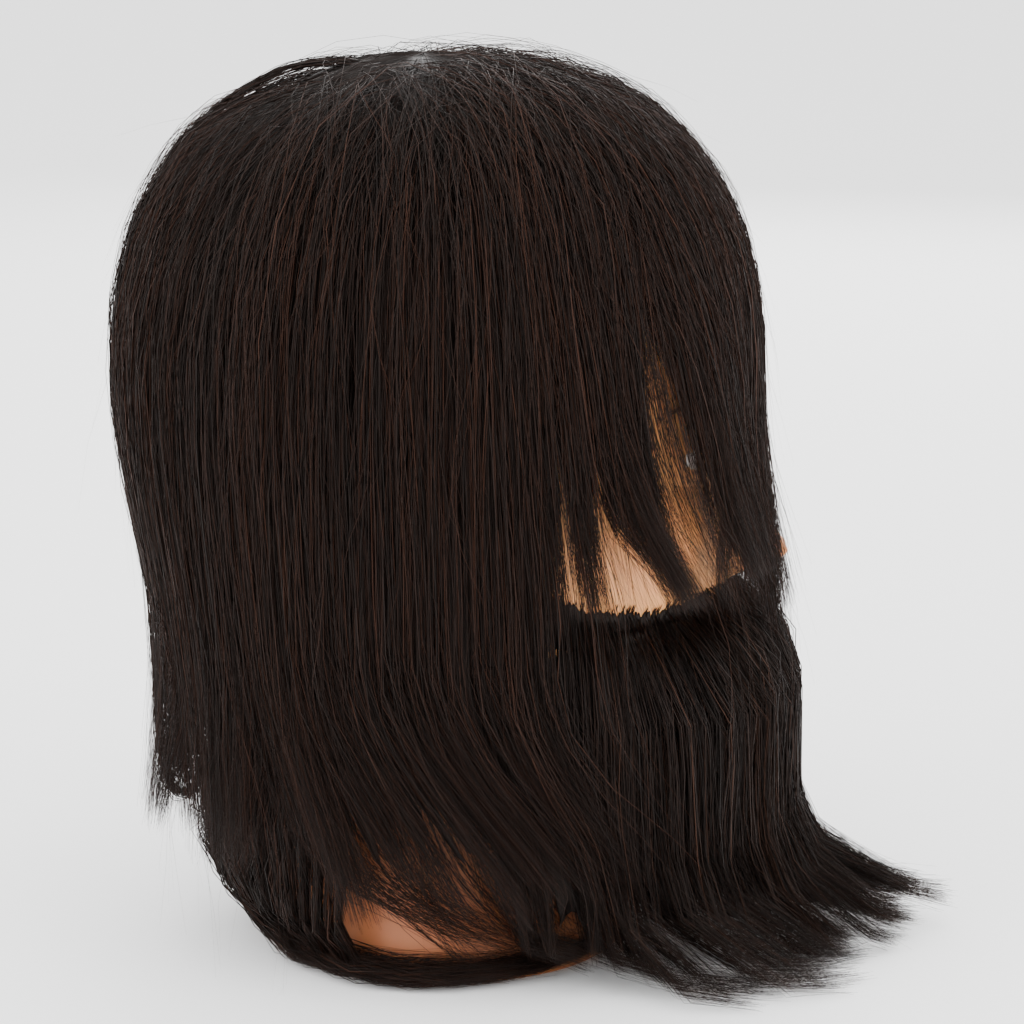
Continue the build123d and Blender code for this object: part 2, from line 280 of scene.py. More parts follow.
def grid_faces(rows, columns, wrap):
    """Corner numbers of a grid's quads, row by row, joined round its columns if wrap is set."""
    corner = np.arange(rows * columns).reshape(rows, columns)
    if wrap:
        corner = np.concatenate([corner, corner[:, :1]], axis=1)
    quads = [corner[:-1, :-1], corner[:-1, 1:], corner[1:, 1:], corner[1:, :-1]]
    return np.stack(quads, axis=-1).reshape(-1, 4)


def capped_faces(rows, columns):
    """Quads of a grid joined round its columns, and a fan of triangles from each end to a pole. The
    two poles are the points after the grid's own."""
    column = np.arange(columns)
    following = (column + 1) % columns
    last_ring = (rows - 1) * columns
    pole = np.full(columns, rows * columns)
    near = np.stack([following, column, pole], axis=-1)
    far = np.stack([last_ring + column, last_ring + following, pole + 1], axis=-1)
    return grid_faces(rows, columns, True), np.concatenate([near, far])


def make_piece(name, node, parts, material):
    """One object that stands for a node, from several parts. Each is its points in millimetres, quads
    and triangles, and for hair also a UV pair for each corner of its quads and of its triangles."""
    firsts = np.cumsum([0] + [len(part[0]) for part in parts[:-1]])
    points = np.concatenate([part[0] for part in parts])
    quads = np.concatenate([part[1] + first for part, first in zip(parts, firsts)])
    triangles = np.concatenate([part[2] + first for part, first in zip(parts, firsts)])
    mesh = bpy.data.meshes.new(name)
    mesh.vertices.add(len(points))
    mesh.vertices.foreach_set("co", (points * 0.001).astype(np.float32).ravel())
    corners = np.concatenate([quads.ravel(), triangles.ravel()]).astype(np.int32)
    mesh.loops.add(len(corners))
    mesh.loops.foreach_set("vertex_index", corners)
    mesh.polygons.add(len(quads) + len(triangles))
    starts = np.concatenate([np.arange(len(quads)) * 4, quads.size + np.arange(len(triangles)) * 3])
    mesh.polygons.foreach_set("loop_start", starts.astype(np.int32))
    mesh.update(calc_edges=True)
    if len(parts[0]) > 3:
        uv = np.concatenate([part[3] for part in parts] + [part[4] for part in parts])
        mesh.uv_layers.new(name="OFBake").data.foreach_set("uv", uv.astype(np.float32).ravel())
    mesh.polygons.foreach_set("use_smooth", np.full(len(mesh.polygons), True))
    mesh.update()
    mesh.materials.append(material)
    piece = bpy.data.objects.new(name, mesh)
    bpy.context.collection.objects.link(piece)
    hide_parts(node)
    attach(piece, "root")


def ear_points(side):
    """One ear as a closed leaf: an oval plate whose front carries a raised rim, a second ridge and a
    hollow bowl, and whose back is plain. It flares away from the head towards the back."""
    reach = np.linspace(0.0, 1.0, 26)[:, None]
    turn = np.linspace(0.0, 2 * np.pi, 56, endpoint=False)[None, :]
    lobe = 1.0 - 0.28 * smoothstep(-np.sin(turn) * 1.2 - 0.2)
    back_fro = EAR_HALF_WIDE * reach * np.cos(turn) * lobe
    up = EAR_HALF_HIGH * reach * np.sin(turn) * np.ones_like(reach)
    behind = smoothstep(np.cos(turn) * 2.0 + 0.8)
    rim = 3.4 * np.exp(-0.5 * ((reach - 0.90) / 0.07) ** 2) * behind
    ridge = 2.0 * np.exp(-0.5 * ((reach - 0.60) / 0.08) ** 2) * behind
    bowl = -5.5 * np.exp(-0.5 * (reach / 0.34) ** 2)
    front = 1.6 * np.sqrt(np.maximum(1.0 - reach**6, 0.0)) + rim + ridge + bowl
    rear = -2.2 * np.sqrt(np.maximum(1.0 - reach**6, 0.0)) * np.ones_like(turn)
    leaves = []
    for height in (front, rear):
        out = height + EAR_FLARE * (back_fro + EAR_HALF_WIDE)
        y = EAR_CENTRE[1] + back_fro * np.cos(EAR_TILT) + up * np.sin(EAR_TILT)
        z = EAR_CENTRE[2] + up * np.cos(EAR_TILT) - back_fro * np.sin(EAR_TILT)
        leaves.append(np.stack([side * (EAR_CENTRE[0] - 4.0 + out), y, z], axis=-1))
    return leaves


def ear_part(side):
    """The points and faces of one ear, its two leaves joined at the rim and closed at the middle."""
    front, rear = ear_points(side)
    rings = np.concatenate([front[1:], rear[1:-1][::-1]])
    points = np.concatenate([rings.reshape(-1, 3), [front[0, 0], rear[0, 0]]])
    quads, triangles = capped_faces(*rings.shape[:2])
    facing = int(-side)
    return points, quads[:, ::facing], triangles[:, ::facing]


def inner_form(turn, ring, inset):
    """The bare head form drawn in by an inset, and lowered by the skin's thickness at the crown."""
    points = head_point(turn, ring, inset)
    points[..., 2] -= SKIN_WALL * rising(points[..., 2], THINNED_FROM, THINNED_OVER)
    return points


def add_node(material, kind, sockets, **settings):
    """A shader node with its settings made and its inputs fed."""
    node = material.node_tree.nodes.new("ShaderNode" + kind)
    for name, value in settings.items():
        setattr(node, name, value)
    feed(material, node, sockets)
    return node


def object_noise(material, scale, detail=2.0, roughness=0.5):
    """Noise on Object coordinates."""
    place = add_node(material, "TexCoord", {}).outputs["Object"]
    sockets = {"Vector": place, "Scale": scale, "Detail": detail, "Roughness": roughness}
    return add_node(material, "TexNoise", sockets).outputs["Fac"]


def mix_colours(material, factor, first, second):
    """The colour that lies between two others by a factor."""
    return add_node(material, "Mix", {0: factor, 6: first, 7: second}, data_type="RGBA").outputs[2]


def between(material, factor, low, high):
    """A number that runs from low to high as the factor runs from 0 to 1."""
    return add_node(material, "MapRange", {"Value": factor, "To Min": low, "To Max": high}).outputs["Result"]


def fine_bump(material, height, strength):
    """A normal for grain 0.3 mm deep."""
    sockets = {"Strength": strength, "Distance": 0.0003, "Height": height}
    return add_node(material, "Bump", sockets).outputs["Normal"]


def vector_result(material, operation, *inputs):
    """What a vector operation gives for its inputs: a number for a length, or else a vector."""
    node = add_node(material, "VectorMath", dict(enumerate(inputs)), operation=operation)
    return node.outputs["Value" if operation == "LENGTH" else "Vector"]


def add_patch(material, below, centre, half_sizes, colour, strength):
    """Mixes a colour over the one below inside a soft ellipsoid, on both sides of the face."""
    place = add_node(material, "TexCoord", {}).outputs["Object"]
    mirror = vector_result(material, "ABSOLUTE", place)
    offset = vector_result(material, "SUBTRACT", mirror, [c * 0.001 for c in centre])
    shrunk = vector_result(material, "DIVIDE", offset, [h * 0.001 for h in half_sizes])
    distance = vector_result(material, "LENGTH", shrunk)
    sockets = {"Value": distance, "From Min": 0.55, "From Max": 1.15, "To Min": strength, "To Max": 0.0}
    fade = add_node(material, "MapRange", sockets, interpolation_type="SMOOTHSTEP")
    return mix_colours(material, fade.outputs["Result"], below, colour)


vinyl, vinyl_shader = new_material("peach_vinyl")
mottle = object_noise(vinyl, 14.0, 4.0, 0.55)
colour = mix_colours(vinyl, mottle, *SKIN_COLOURS)
for patch in SKIN_PATCHES:
    colour = add_patch(vinyl, colour, *patch)
feed(vinyl, vinyl_shader, {
    "Base Color": colour,
    "Normal": fine_bump(vinyl, object_noise(vinyl, 950.0), 0.12),
    "Roughness": between(vinyl, mottle, 0.40, 0.56),
    "Subsurface Weight": 0.18,
    "Subsurface Scale": 0.006,
    "IOR": 1.5,
})

ring_places = np.concatenate([
    np.linspace(0.0, FACE_FIRST_RING, RINGS_ABOVE, endpoint=False)[1:],
    np.linspace(FACE_FIRST_RING, FACE_LAST_RING, RINGS_OF_FACE, endpoint=False),
    np.linspace(FACE_LAST_RING, len(HEAD_RINGS) - 1.0, RINGS_BELOW),
])[:, None]
turns = np.pi * signed_power(np.linspace(-1.0, 1.0, RING_POINTS, endpoint=False), CROWDING)[None, :]
outer_skin = with_face(head_point(turns, ring_places))
inner_places = np.linspace(len(HEAD_RINGS) - 1.0, 0.4, RINGS_INSIDE)[:, None]
inner_skin = inner_form(turns, inner_places, SKIN_WALL)
skin_rings = np.concatenate([outer_skin, inner_skin])
skin_poles = [CROWN, (*CROWN[:2], CROWN[2] - SKIN_WALL)]
skin_part = (np.concatenate([skin_rings.reshape(-1, 3), skin_poles]), *capped_faces(*skin_rings.shape[:2]))
make_piece("vinyl_head", "head_skin", [skin_part, ear_part(-1.0), ear_part(1.0)], vinyl)


# ==== Foam core, clamp socket, base plate and screws ==============================================
# Cream foam fills the head. A black moulded tube for the clamp's post is screwed to a black plate
# that closes the neck flush with its rim. These keep their own solids and only get their finish.
SOCKET_TUBE = 24.0  # out to the tips of the socket's ribs
FLANGE_THICK = 11.2  # up to the tops of the screw bosses
FOAM_GAP = 0.2  # left free round the socket


def plain_finish(name, dark, light, scale, roughness, bump_strength, metallic=0.0):
    """A grained finish on Object coordinates: noise mixes two close tones and lifts a fine bump."""
    material, shader = new_material(name)
    grain = object_noise(material, scale, 5.0, 0.6)
    feed(material, shader, {
        "Base Color": mix_colours(material, grain, (*dark, 1.0), (*light, 1.0)),
        "Normal": fine_bump(material, grain, bump_strength),
        "Roughness": roughness,
        "Metallic": metallic,
    })
    return material


def finish_node(node, material):
    """Gives a CAD node's own object this finish."""
    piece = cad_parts[node]
    if not piece.material_slots:
        piece.data.materials.append(material)
    for slot in piece.material_slots:
        slot.material = material


def foam_part():
    """The head form drawn in by the skin's thickness, closed underneath round the socket's flange
    and tube, whose radii and heights come from the socket's own box."""
    socket_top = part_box("clamp_socket")[1][2] * 1000.0 + FOAM_GAP
    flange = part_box("clamp_socket")[1][0] * 1000.0 + FOAM_GAP
    tube = SOCKET_TUBE + FOAM_GAP
    plate_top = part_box("base_plate")[1][2] * 1000.0 + 0.1
    flange_top = plate_top + FLANGE_THICK
    angle = turns[:, ::2]
    form = inner_form(angle, np.linspace(0.4, len(HEAD_RINGS) - 1.15, 60)[:, None], SKIN_WALL + 0.25)
    form[..., 2] = np.maximum(form[..., 2], plate_top)
    levels = [(flange, plate_top), (flange, flange_top), (tube, flange_top), (tube, socket_top)]
    ring = np.stack([-np.sin(angle), -np.cos(angle), np.ones_like(angle)], axis=-1)
    rings = [ring * [radius, radius, z] for radius, z in levels]
    grid = np.concatenate([form] + rings)
    poles = [[0.0, 1.0, 280.2 - SKIN_WALL], [0.0, 0.0, socket_top]]
    return np.concatenate([grid.reshape(-1, 3), poles]), *capped_faces(*grid.shape[:2])


foam = plain_finish("cream_foam", (0.62, 0.54, 0.36), (0.80, 0.73, 0.54), 420.0, 0.95, 0.8)
BLACKS = ((0.012, 0.012, 0.013), (0.030, 0.030, 0.032))
black_plastic = plain_finish("black_moulded_plastic", *BLACKS, 700.0, 0.48, 0.25)
zinc = plain_finish("zinc_plate", (0.46, 0.47, 0.48), (0.66, 0.66, 0.64), 300.0, 0.34, 0.15, 1.0)
make_piece("foam_core_block", "foam_core", [foam_part()], foam)
finish_node("clamp_socket", black_plastic)
finish_node("base_plate", black_plastic)
finish_node("base_screws", zinc)

# ==== Eyes ========================================================================================
# Set-in eyes of polished acrylic: a white ball with a flat seat, a printed brown iris disc with a
# dark pupil on that seat, and a clear domed cornea over it.
IRIS_BROWNS = ((0.035, 0.014, 0.006, 1.0), (0.23, 0.10, 0.035, 1.0))
PUPIL_COLOUR = (0.002, 0.002, 0.002, 1.0)
PUPIL = 2.3
PUPIL_EDGE = 0.4

eye_white = plain_finish("eye_white", (0.78, 0.74, 0.70), (0.86, 0.84, 0.81), 60.0, 0.16, 0.02)
cornea, cornea_shader = new_material("clear_cornea")
cornea_gloss = between(cornea, object_noise(cornea, 200.0), 0.02, 0.05)
feed(cornea, cornea_shader, {"Roughness": cornea_gloss, "Transmission Weight": 1.0, "IOR": 1.4})


def iris_finish(side):
    """Fibres that run out from the pupil: noise along the direction from the middle of the disc."""
    material, shader = new_material("brown_iris_" + side)
    middle = [(a + b) / 2 for a, b in zip(*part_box("iris_" + side))]
    place = add_node(material, "TexCoord", {}).outputs["Object"]
    centred = vector_result(material, "SUBTRACT", place, middle)
    direction = vector_result(material, "NORMALIZE", centred)
    fibres = add_node(material, "TexNoise", {"Vector": direction, "Scale": 9.0, "Detail": 4.0})
    pupil = add_node(material, "MapRange", {
        "Value": vector_result(material, "LENGTH", centred),
        "From Min": PUPIL * 0.001,
        "From Max": (PUPIL + PUPIL_EDGE) * 0.001,
    })
    brown = mix_colours(material, fibres.outputs["Fac"], *IRIS_BROWNS)
    face = mix_colours(material, pupil.outputs["Result"], PUPIL_COLOUR, brown)
    feed(material, shader, {"Base Color": face, "Roughness": 0.25})
    return material


for side in ("left", "right"):
    finish_node("eye_white_" + side, eye_white)
    finish_node("cornea_" + side, cornea)
    finish_node("iris_" + side, iris_finish(side))


# ==== Hair on the head ============================================================================
# Very dark brown human-hair fibres are implanted all over the scalp and combed out from a whorl at
# the crown. Each parted section has a dense dark underlayer, with combed locks of strands over it.
WHORL_Y = 4.0
HAIR_FRONT, HAIR_BACK, HAIR_SIDE = 106.5, 99.0, 90.5
HAIR_TOP, HAIR_WIDEST_Z = 288.0, 185.0
SCALP_FRONT, SCALP_BACK, SCALP_SIDE = 98.0, 91.0, 76.5
SCALP_TOP = 279.5
PLAN_SQUARENESS = 2.2
DOME_SQUARENESS = 2.3
WAIST_FRONT, WAIST_SIDE, WAIST_BACK = -0.130, 0.085, 0.155
DIP_DEEP, DIP_FALL, DIP_SPREAD = 4.4, 0.29, 0.11  # where the hair lies flatter behind the whorl
STRAND_POINTS = 9
HEAD_MIDDLE = np.array([0.0, 0.0, 130.0])
LOCK_SHIFT = 0.42  # how far a lock's middle may lie from its even place, as a share of the spacing
LOWEST = 0.5  # no strand's middle comes lower than this over the table
TINTS = 64  # columns of the hair's colour chart
SHEET_TINTS = 20  # how many of them, from its dark end, an underlayer takes
SHEET_STRIDE = 7  # columns of the chart between neighbouring strips of an underlayer
HAIR_COLOURS = [
    # place on the chart, colour
    (0.00, (0.0030, 0.0019, 0.0016)),
    (0.55, (0.0066, 0.0036, 0.0028)),
    (0.85, (0.0150, 0.0064, 0.0042)),
    (1.00, (0.0300, 0.0110, 0.0060)),
]


def plan_radius(angle, front, behind, side):
    """Distance from the whorl's axis to a level super-ellipse, along an angle from straight ahead."""
    along_y = np.where(np.cos(angle) > 0, front, behind)
    n = PLAN_SQUARENESS
    return (np.abs(np.sin(angle) / side) ** n + np.abs(np.cos(angle) / along_y) ** n) ** (-1.0 / n)


def waist(angle):
    """How much the falling hair draws in below its widest line, mixed from front, side and back."""
    ahead = np.cos(angle)
    front = WAIST_FRONT * np.maximum(ahead, 0.0) ** 2
    behind = WAIST_BACK * np.maximum(-ahead, 0.0) ** 2
    return front + behind + WAIST_SIDE * np.sin(angle) ** 2


def hair_point(angle, fall, layer):
    """A point in the hair. Fall is 0 at the whorl, 1 at the widest line and 2 at the table: first a
    super-elliptic dome, then straight down. Layer is 0 on the scalp and 1 on the outside."""
    over = np.clip(fall, 0.0, 1.0) * np.pi / 2
    below = np.maximum(fall - 1.0, 0.0)
    power = 2.0 / (2.0 + (DOME_SQUARENESS - 2.0) * layer)
    out = np.maximum(np.sin(over), 1e-9) ** power
    up = np.maximum(np.cos(over), 0.0) ** power
    outer = plan_radius(angle, HAIR_FRONT, HAIR_BACK, HAIR_SIDE)
    inner = plan_radius(angle, SCALP_FRONT, SCALP_BACK, SCALP_SIDE)
    radius = (inner + (outer - inner) * layer) * out
    radius = radius * (1.0 - waist(angle) * smoothstep(below / 0.6))
    top = SCALP_TOP + (HAIR_TOP - SCALP_TOP) * layer
    z = HAIR_WIDEST_Z * (1.0 - below) + (top - HAIR_WIDEST_Z) * up
    flatter = np.maximum(-np.cos(angle), 0.0) ** 4 * np.exp(-(((fall - DIP_FALL) / DIP_SPREAD) ** 2))
    z = z - DIP_DEEP * layer * flatter
    return np.stack([-radius * np.sin(angle), WHORL_Y - radius * np.cos(angle), z], axis=-1)


def strand_mesh(paths, thickness, rng, tint_low=0.0, tint_high=1.0):
    """Points, faces and UVs of many strands at once. Each is a closed three-sided tube carried along
    its path, thinner to the tip, and takes one column of the colour chart, root to tip."""
    count, steps = paths.shape[:2]
    paths = paths * [1.0, 1.0, 0.0] + np.maximum(paths[..., 2:], LOWEST) * [0.0, 0.0, 1.0]
    heading = np.gradient(paths, axis=1)
    heading /= np.linalg.norm(heading, axis=-1, keepdims=True) + 1e-9
    outward = paths - HEAD_MIDDLE
    first = np.cross(heading, outward)
    first /= np.linalg.norm(first, axis=-1, keepdims=True) + 1e-9
    second = np.cross(heading, first)
    down = np.linspace(0.0, 1.0, steps)
    taper = (0.55 + 0.45 * smoothstep(down * 6.0)) * (1.0 - 0.82 * rising(down, 0.45, 0.55))
    radius = thickness[:, None] * taper[None, :]
    spin = rng.uniform(0.0, 2 * np.pi, count)[:, None, None]
    corner = (spin + (np.arange(3) * 2 * np.pi / 3)[None, None, :])[..., None]
    ring = np.cos(corner) * first[:, :, None, :] + np.sin(corner) * second[:, :, None, :]
    points = paths[:, :, None, :] + radius[:, :, None, None] * ring
    base = (np.arange(count) * steps * 3)[:, None, None]
    step = (np.arange(steps - 1) * 3)[None, :, None]
    side = np.arange(3)[None, None, :]
    following = (side + 1) % 3
    quads = np.stack([base + step + side, base + step + 3 + side, base + step + 3 + following,
                      base + step + following], axis=-1).reshape(-1, 4)
    start = np.arange(count)[:, None] * steps * 3
    roots = start + np.array([0, 1, 2])
    tips = start + (steps - 1) * 3 + np.array([2, 1, 0])
    triangles = np.concatenate([roots, tips])
    column = np.floor(rng.uniform(tint_low, tint_high, count) * TINTS).clip(0, TINTS - 1)
    left = ((column[:, None, None] + 0.05 + 0.3 * side) / TINTS) * np.ones((1, steps - 1, 1))
    right = left + 0.3 / TINTS
    high = down[None, :-1, None] * np.ones((count, 1, 3))
    low = down[None, 1:, None] * np.ones((count, 1, 3))
    quad_uv = np.stack([np.stack([left, high], -1), np.stack([left, low], -1),
                        np.stack([right, low], -1), np.stack([right, high], -1)], axis=-2).reshape(-1, 2)
    cap_u = (column[:, None] + np.array([0.1, 0.9, 0.5])) / TINTS
    root_uv = np.stack([cap_u, np.broadcast_to([0.0, 0.0, 0.02], cap_u.shape)], -1).reshape(-1, 2)
    tip_uv = np.stack([cap_u, np.broadcast_to([1.0, 1.0, 0.98], cap_u.shape)], -1).reshape(-1, 2)
    return points.reshape(-1, 3), quads, triangles, quad_uv, np.concatenate([root_uv, tip_uv])


def sheet_mesh(front, rear):
    """Points, faces and UVs of a thin closed sheet between two grids, front outwards. Its UVs run
    over the dark end of the colour chart again and again, so that it looks combed."""
    rows, columns = front.shape[:2]
    points = np.concatenate([front.reshape(-1, 3), rear.reshape(-1, 3)])
    outer = grid_faces(rows, columns, False)
    inner = outer[:, ::-1] + rows * columns
    top = np.arange(columns)
    left = np.arange(rows) * columns
    edges = [top, left + columns - 1, top[::-1] + (rows - 1) * columns, left[::-1]]
    rims = [np.stack([e[:-1], e[:-1] + rows * columns, e[1:] + rows * columns, e[1:]], -1) for e in edges]
    quads = np.concatenate([outer, inner, *rims])
    row = (quads % (rows * columns)) // columns
    across = (quads % (rows * columns)) % columns
    low = across.min(axis=1, keepdims=True)
    column = (low * SHEET_STRIDE) % SHEET_TINTS
    u = (column + 0.05 + 0.9 * (across - low)) / TINTS
    v = np.broadcast_to(row / (rows - 1), u.shape).copy()
    flat = np.ptp(v, axis=1) == 0
    v[flat] += np.array([0.0, 0.0, 0.01, 0.01])
    thin = np.ptp(u, axis=1) == 0
    u[thin] += np.array([0.0, 0.0, 0.5, 0.5]) / TINTS
    return points, quads, np.zeros((0, 3), int), np.stack([u, v], -1).reshape(-1, 2), np.zeros((0, 2))


def hair_finish(name, colours, tip_lift, roughness):
    """The colour chart: each column of the piece's own UV map has its own tone, from near black to
    red brown, with a fine streak along the fibre and a slightly lighter tip."""
    material, shader = new_material(name)
    chart = add_node(material, "UVMap", {}, uv_map="OFBake").outputs["UV"]
    split = add_node(material, "SeparateXYZ", {0: chart})
    scaled = add_node(material, "Math", {0: split.outputs["X"], 1: float(TINTS)}, operation="MULTIPLY")
    column = add_node(material, "Math", {0: scaled.outputs[0]}, operation="FLOOR")
    tone = add_node(material, "Math", {0: column.outputs[0], 1: float(TINTS)}, operation="DIVIDE")
    ramp = add_node(material, "ValToRGB", {"Fac": tone.outputs[0]})
    elements = ramp.color_ramp.elements
    for spot, _ in colours[1:-1]:
        elements.new(spot)
    for element, (spot, shade) in zip(elements, colours):
        element.position = spot
        element.color = (*shade, 1.0)
    stretch = add_node(material, "Mapping", {"Vector": chart, "Scale": (TINTS * 2.0, 9.0, 1.0)})
    streak = add_node(material, "TexNoise", {0: stretch.outputs["Vector"], "Scale": 1.0, "Detail": 2.0})
    uneven = between(material, streak.outputs["Fac"], 0.62, 1.38)
    ends = add_node(material, "MapRange",
                    {"Value": split.outputs["Y"], "From Min": 0.25, "To Min": 1.0, "To Max": tip_lift})
    lift = add_node(material, "Math", {0: uneven, 1: ends.outputs["Result"]}, operation="MULTIPLY")
    sockets = {0: ramp.outputs["Color"], "Scale": lift.outputs[0]}
    shaded = add_node(material, "VectorMath", sockets, operation="SCALE")
    feed(material, shader, {
        "Base Color": shaded.outputs["Vector"],
        "Roughness": roughness,
        "IOR": 1.5,
        "Specular IOR Level": 0.15,
        "Specular Tint": (1.0, 0.86, 0.80, 1.0),
    })
    return material


def wave(rng, count, turns_low, turns_high):
    """A smooth sway from minus one to one along each strand: a sine with its own pitch and start."""
    down = np.linspace(0.0, 1.0, STRAND_POINTS)[None, :]
    pitch = rng.uniform(turns_low, turns_high, count)[:, None]
    start = rng.random(count)[:, None]
    return np.sin(2 * np.pi * (pitch * down + start))


def in_locks(rng, values, low, high, spacing):
    """Uneven locks: middles a spacing apart, each shifted at random. Gives each strand the middle of
    its nearest lock and the lock's number."""
    count = max(int(round((high - low) / spacing)), 2)
    uneven = np.arange(count) + 0.5 + rng.uniform(-LOCK_SHIFT, LOCK_SHIFT, count)
    middles = low + uneven * (high - low) / count
    number = np.searchsorted((middles[1:] + middles[:-1]) / 2, values)
    return middles[number], number, count


def curve_at(controls, place):
    """Reads every strand's own Catmull-Rom curve at the same fractional control numbers."""
    return np.moveaxis(along(np.moveaxis(controls, 1, 0), place), 0, 1)


def combed_paths(rng, root_angle, root_fall, end_fall, layer, locks, gather, close_from, sweep, sway, curl):
    """Paths of combed strands. Angle and fall run from root to end. The angle drifts to the middle
    of a fine lock, then of a broad one, so that locks close to points, and follows the sweep. Near
    the whorl each strand is shifted a little its own way, so that they don't meet in one point."""
    broad, fine, turn = locks
    count = len(root_angle)
    down = np.linspace(0.0, 1.0, STRAND_POINTS)[None, :]
    fall = root_fall[:, None] + (end_fall - root_fall)[:, None] * down
    pull = gather[:, None] * smoothstep((down - close_from) / (1.0 - close_from))
    angle = root_angle[:, None] + (fine - root_angle)[:, None] * FINE_PULL * smoothstep(down * 2.0)
    angle = angle + (broad - fine)[:, None] * pull
    angle = angle + sweep(root_angle[:, None], fall) + turn[:, None] * rising(fall, 0.25, 1.2)
    angle = angle + sway[:, None] * wave(rng, count, 0.4, 1.5) * (0.2 + down)
    depth = layer[:, None] * smoothstep(0.30 + down * 3.0)
    depth = depth + 0.08 * wave(rng, count, 0.5, 1.8)
    scatter = WHORL_SPREAD * np.exp(-((fall / 0.40) ** 2))
    ahead = fall * np.cos(angle) + scatter * rng.normal(size=(count, 1))
    beside = fall * np.sin(angle) + scatter * rng.normal(size=(count, 1))
    paths = hair_point(np.arctan2(beside, ahead), np.hypot(ahead, beside), depth)
    bend = rising(down, 0.66, 0.34)[..., None] ** 1.4
    return paths + curl[:, None, :] * bend


def forward_sweep(angle, fall):
    """Hair swings forward as it falls: over the face at the temples, and only near its ends behind
    them."""
    amount = 0.0
    for centre, spread, swing, start, length in SWEEPS:
        near = np.exp(-0.5 * ((np.abs(angle) - np.radians(centre)) / np.radians(spread)) ** 2)
        amount = amount + np.radians(swing) * near * rising(fall, start, length)
    return -np.sign(angle) * amount


def side_sweep(angle, fall):
    """The forward sweep, with the hair over each eye parted to both sides of one line."""
    past = np.abs(angle) - EYE_PARTING
    opening = PARTING_HALF * np.exp(-np.abs(past) / PARTING_FADE) * rising(fall, 0.66, 0.5)
    opening = opening * np.where(past < 0, 0.60, 1.0)
    return forward_sweep(angle, fall) + np.sign(angle) * np.sign(past) * opening


WHORL_SPREAD = 0.10
SWEEPS = [
    # angle of its middle, spread, how far it swings, the fall where it starts, over what length
    (48.0, 15.0, 16.0, 0.72, 0.66),
    (48.0, 15.0, 6.0, 1.16, 0.24),
    (94.0, 24.0, 32.0, 1.42, 0.52),
]
EYE_PARTING, PARTING_HALF, PARTING_FADE = np.radians([44.0, 10.0, 12.0])
HAIR_SECTIONS = {
    # node: angles in degrees, strands, lowest root as a fall, Z of the longest ends, how much the
    # ends vary, lock spacing in degrees, gather, where locks start to close, underlayer's last fall
    "hair_fringe": ((-33.0, 33.0), 2500, 0.68, 106.0, 4.5, 6.5, 0.80, 0.30, 0.66),
    "hair_temple_right": ((31.0, 72.0), 3300, 0.90, 117.0, 3.5, 7.2, 0.86, 0.38, 0.84),
    "hair_temple_left": ((-72.0, -31.0), 3000, 0.90, 117.0, 3.5, 7.2, 0.86, 0.38, 0.84),
    "hair_side_right": ((70.0, 126.0), 3480, 1.15, 21.0, 8.5, 4.0, 0.40, 0.72, 1.74),
    "hair_side_left": ((-126.0, -70.0), 3200, 1.15, 21.0, 8.5, 4.0, 0.40, 0.72, 1.74),
    "hair_back": ((123.0, 237.0), 3330, 1.25, 37.0, 3.2, 5.0, 0.45, 0.65, 1.62),
}
STRAND_RADIUS = (0.10, 0.20)
STRAY_RADIUS = (0.05, 0.10)
STRAND_SHARE = 12  # combed strands to each stray one
STRAY_CURL = 4.5
FINE_LOCKS = 6  # fine locks to each broad one
FINE_PULL = 0.72  # how much of the way each strand is drawn to its fine lock
CROSSING_SHARE = 0.13  # hairs that lie across the combed ones
CROSSING_TURN = np.radians(6.0)
LONG_LOCK = 15.0  # how much further the middle of the fringe hangs
LONG_LOCK_HALF = np.radians(11.0)
VEIL_HAIRS = 250  # fine hairs left across each parting over an eye
VEIL_ANGLES = np.radians([35.0, 56.0])
SHEET_ROWS, SHEET_COLUMNS = 26, 64  # points of each section's underlayer
SHEET_HEM = (-0.09, 0.04)  # how far its ragged hem varies, as a fall
SHEET_DEPTH, SHEET_THICK = 0.42, 0.09  # as shares of the hair's depth
# Middle lines, as Y and Z, of two loose locks at the back that the other hair doesn't hold down
HOOKED_LOCK = ((93.0, 125.0), (91.5, 92.0), (91.0, 62.0), (88.0, 46.0),
               (81.5, 43.0), (78.0, 51.0), (79.0, 60.0))
LIFTED_LOCK = ((25.0, 281.0), (37.0, 280.6), (48.0, 278.2),
               (60.0, 271.8), (74.0, 261.6), (86.0, 247.5))
LOOSE_HAIRS = 60
hair = hair_finish("dark_brown_hair", HAIR_COLOURS, 1.3, 0.45)


def loose_lock(rng, middle_line):
    """The strands of one loose lock, each shifted a little from the lock's middle line of Y and Z."""
    line = np.array([(0.0, y, z) for y, z in middle_line])
    shift = rng.normal(size=(LOOSE_HAIRS, 1, 3)) * np.array([2.2, 0.8, 0.5])
    uneven = rng.normal(0.0, 0.35, (LOOSE_HAIRS, len(line), 3))
    paths = curve_at(line[None] + shift + uneven, np.linspace(0.0, len(line) - 1.0, 15))
    return strand_mesh(paths, rng.uniform(*STRAND_RADIUS, LOOSE_HAIRS), rng)


def single_hairs(rng, angle, root, end, turn, layer, sway, curl, sweep, tint_low):
    """Fine hairs that are combed like the others but close to no lock."""
    count = len(angle)
    paths = combed_paths(rng, angle, root, end, layer, (angle, angle, turn),
                         np.zeros(count), 0.5, sweep, sway, curl)
    return strand_mesh(paths, rng.uniform(*STRAY_RADIUS, count), rng, tint_low, 1.0)


